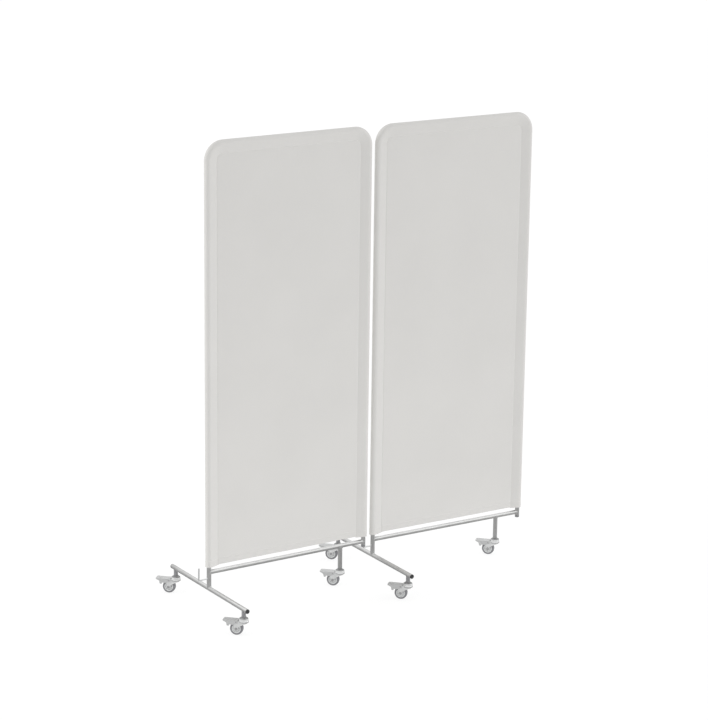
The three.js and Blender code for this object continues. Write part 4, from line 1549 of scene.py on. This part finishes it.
def stage_camera(stage):
    data = bpy.data.cameras.new("camera")
    data.lens = stage.lens
    data.clip_end = 200
    camera = bpy.data.objects.new("camera", data)
    bpy.context.scene.collection.objects.link(camera)
    level = math.cos(stage.elevation)
    back = Vector((
        math.sin(stage.azimuth) * level,
        -math.cos(stage.azimuth) * level,
        math.sin(stage.elevation),
    ))
    right = UP.cross(back).normalized()
    up = back.cross(right)
    turned_right = right * math.cos(stage.roll) + up * math.sin(stage.roll)
    turned_up = up * math.cos(stage.roll) - right * math.sin(stage.roll)
    camera.matrix_world = axes_matrix(turned_right, turned_up, Vector(stage.camera))
    bpy.context.scene.camera = camera


def stage_floor(stage):
    """A pale floor: to the camera white with thin shadows, to the shiny parts grey and darker in front."""
    mesh = bmesh.new()
    bmesh.ops.create_grid(mesh, x_segments=2, y_segments=2, size=stage.floor)
    floor = as_object(mesh, "studio_floor")
    tree, shader, vector = base_material("studio_floor")
    pale_tints, mirrored_tints = (0.88, 0.92), (0.52, 0.72)
    mirrored_from, mirrored_to, pool_from, pool_to = -0.2, 1.2, 0.5, 4.0
    rays = add_node(tree, "LightPath")
    pale = blend_colour(tree, noise_value(tree, vector, 0.4, 2.0), *map(grey, pale_tints))
    away = Vector((-math.sin(stage.azimuth), math.cos(stage.azimuth), 0))
    depth = add_node(tree, "VectorMath", {0: vector, 1: away}, operation="DOT_PRODUCT")["Value"]
    behind = ranged(tree, depth, mirrored_from, mirrored_to)
    mirrored = blend_colour(tree, behind, *map(grey, mirrored_tints))
    seen = blend_colour(tree, rays["Is Glossy Ray"], pale, mirrored)
    middle = add_node(tree, "VectorMath", {0: vector}, operation="LENGTH")["Value"]
    pool = ranged(tree, middle, pool_from, pool_to, stage.bounce, 0.0)
    dull = maths(tree, "MULTIPLY", rays["Is Diffuse Ray"], pool)
    feed(tree, shader, {
        "Base Color": blend_colour(tree, rays["Is Camera Ray"], seen, grey(stage.shade)),
        "Emission Color": grey(1.0),
        "Emission Strength": maths(tree, "MULTIPLY_ADD", rays["Is Camera Ray"], stage.white, dull),
        "Roughness": 0.9,
        "Specular IOR Level": 0.1,
    })
    floor.data.materials.append(bpy.data.materials["studio_floor"])


def stage_world(stage):
    """A pale surround, stronger towards the right, with the light overhead that the shiny parts mirror."""
    world = bpy.data.worlds.new("studio")
    bpy.context.scene.world = world
    world.use_nodes = True
    tree = world.node_tree
    tree.nodes.clear()
    rays = add_node(tree, "LightPath")
    direction = add_node(tree, "TexCoord")["Generated"]
    full_height = 0.9
    mirrored = ranged(tree, axis_value(tree, direction, "Z"), 0.0, full_height, stage.horizon, stage.zenith)
    dull = maths(tree, "MULTIPLY_ADD", axis_value(tree, direction, "X"), stage.side, stage.surround)
    change = maths(tree, "MULTIPLY", rays["Is Glossy Ray"], maths(tree, "SUBTRACT", mirrored, dull))
    strength = maths(tree, "ADD", dull, change)
    background = add_node(tree, "Background", {"Color": grey(1.0), "Strength": strength})[0]
    add_node(tree, "OutputWorld", {"Surface": background})


def soft_light(name, place, width, power):
    """A square light that looks at the middle of the screens."""
    data = bpy.data.lights.new(name, "AREA")
    data.shape = "SQUARE"
    data.size = width
    data.energy = power
    lamp = bpy.data.objects.new(name, data)
    bpy.context.scene.collection.objects.link(lamp)
    lamp.location = place
    lamp.rotation_euler = (UP * TOP_HEIGHT / 2 - Vector(place)).to_track_quat("-Z", "Y").to_euler()
    return lamp


class StudioStage(Operator):
    """Sets the camera, the pale floor, the surround and the soft lights"""

    bl_idname = "ward_screen.studio_stage"
    bl_label = "Studio Stage"

    def execute(self, context):
        stage = sizes("stage")
        stage_camera(stage)
        stage_floor(stage)
        stage_world(stage)
        soft_light("key_light", place=(20.0, -12.75, 2.8), width=12.5, power=stage.key)
        rim_light = soft_light("rim_light", place=(-5.5, 2.5, 3.0), width=2.0, power=stage.rim)
        rim_light.visible_glossy = False
        context.scene.view_settings.view_transform = "Standard"
        return {"FINISHED"}


BUILDERS = (
    FrameTubes, ClothCovers, HingeFittings, FootFittings, SwivelHeads, CastorForks, CastorAxles, CastorWheels,
    BrakePedals, StudioStage,
)


class ScreenPanel(Panel):
    """Lists the steps that make the privacy screen"""

    bl_idname = "VIEW3D_PT_ward_screen"
    bl_label = "Ward Privacy Screen"
    bl_space_type = "VIEW_3D"
    bl_region_type = "UI"
    bl_category = "Ward Screen"

    def draw(self, context):
        column = self.layout.column()
        for builder in BUILDERS:
            column.operator(builder.bl_idname)


CLASSES = (
    TubeSizes, CoverSizes, HingeSizes, CastorSizes, PedalSizes, FinishColours, StageSizes, ScreenSettings,
    *BUILDERS, ScreenPanel,
)


def register():
    for entry in CLASSES:
        bpy.utils.register_class(entry)
    bpy.types.Scene.ward_screen = PointerProperty(type=ScreenSettings, name="Ward screen",
                                                  description="Sizes and colours of the screen")


def unregister():
    del bpy.types.Scene.ward_screen
    for entry in reversed(CLASSES):
        bpy.utils.unregister_class(entry)


def main():
    register()
    for builder in BUILDERS:
        group, name = builder.bl_idname.split(".")
        getattr(getattr(bpy.ops, group), name)()


if __name__ == "__main__":
    main()
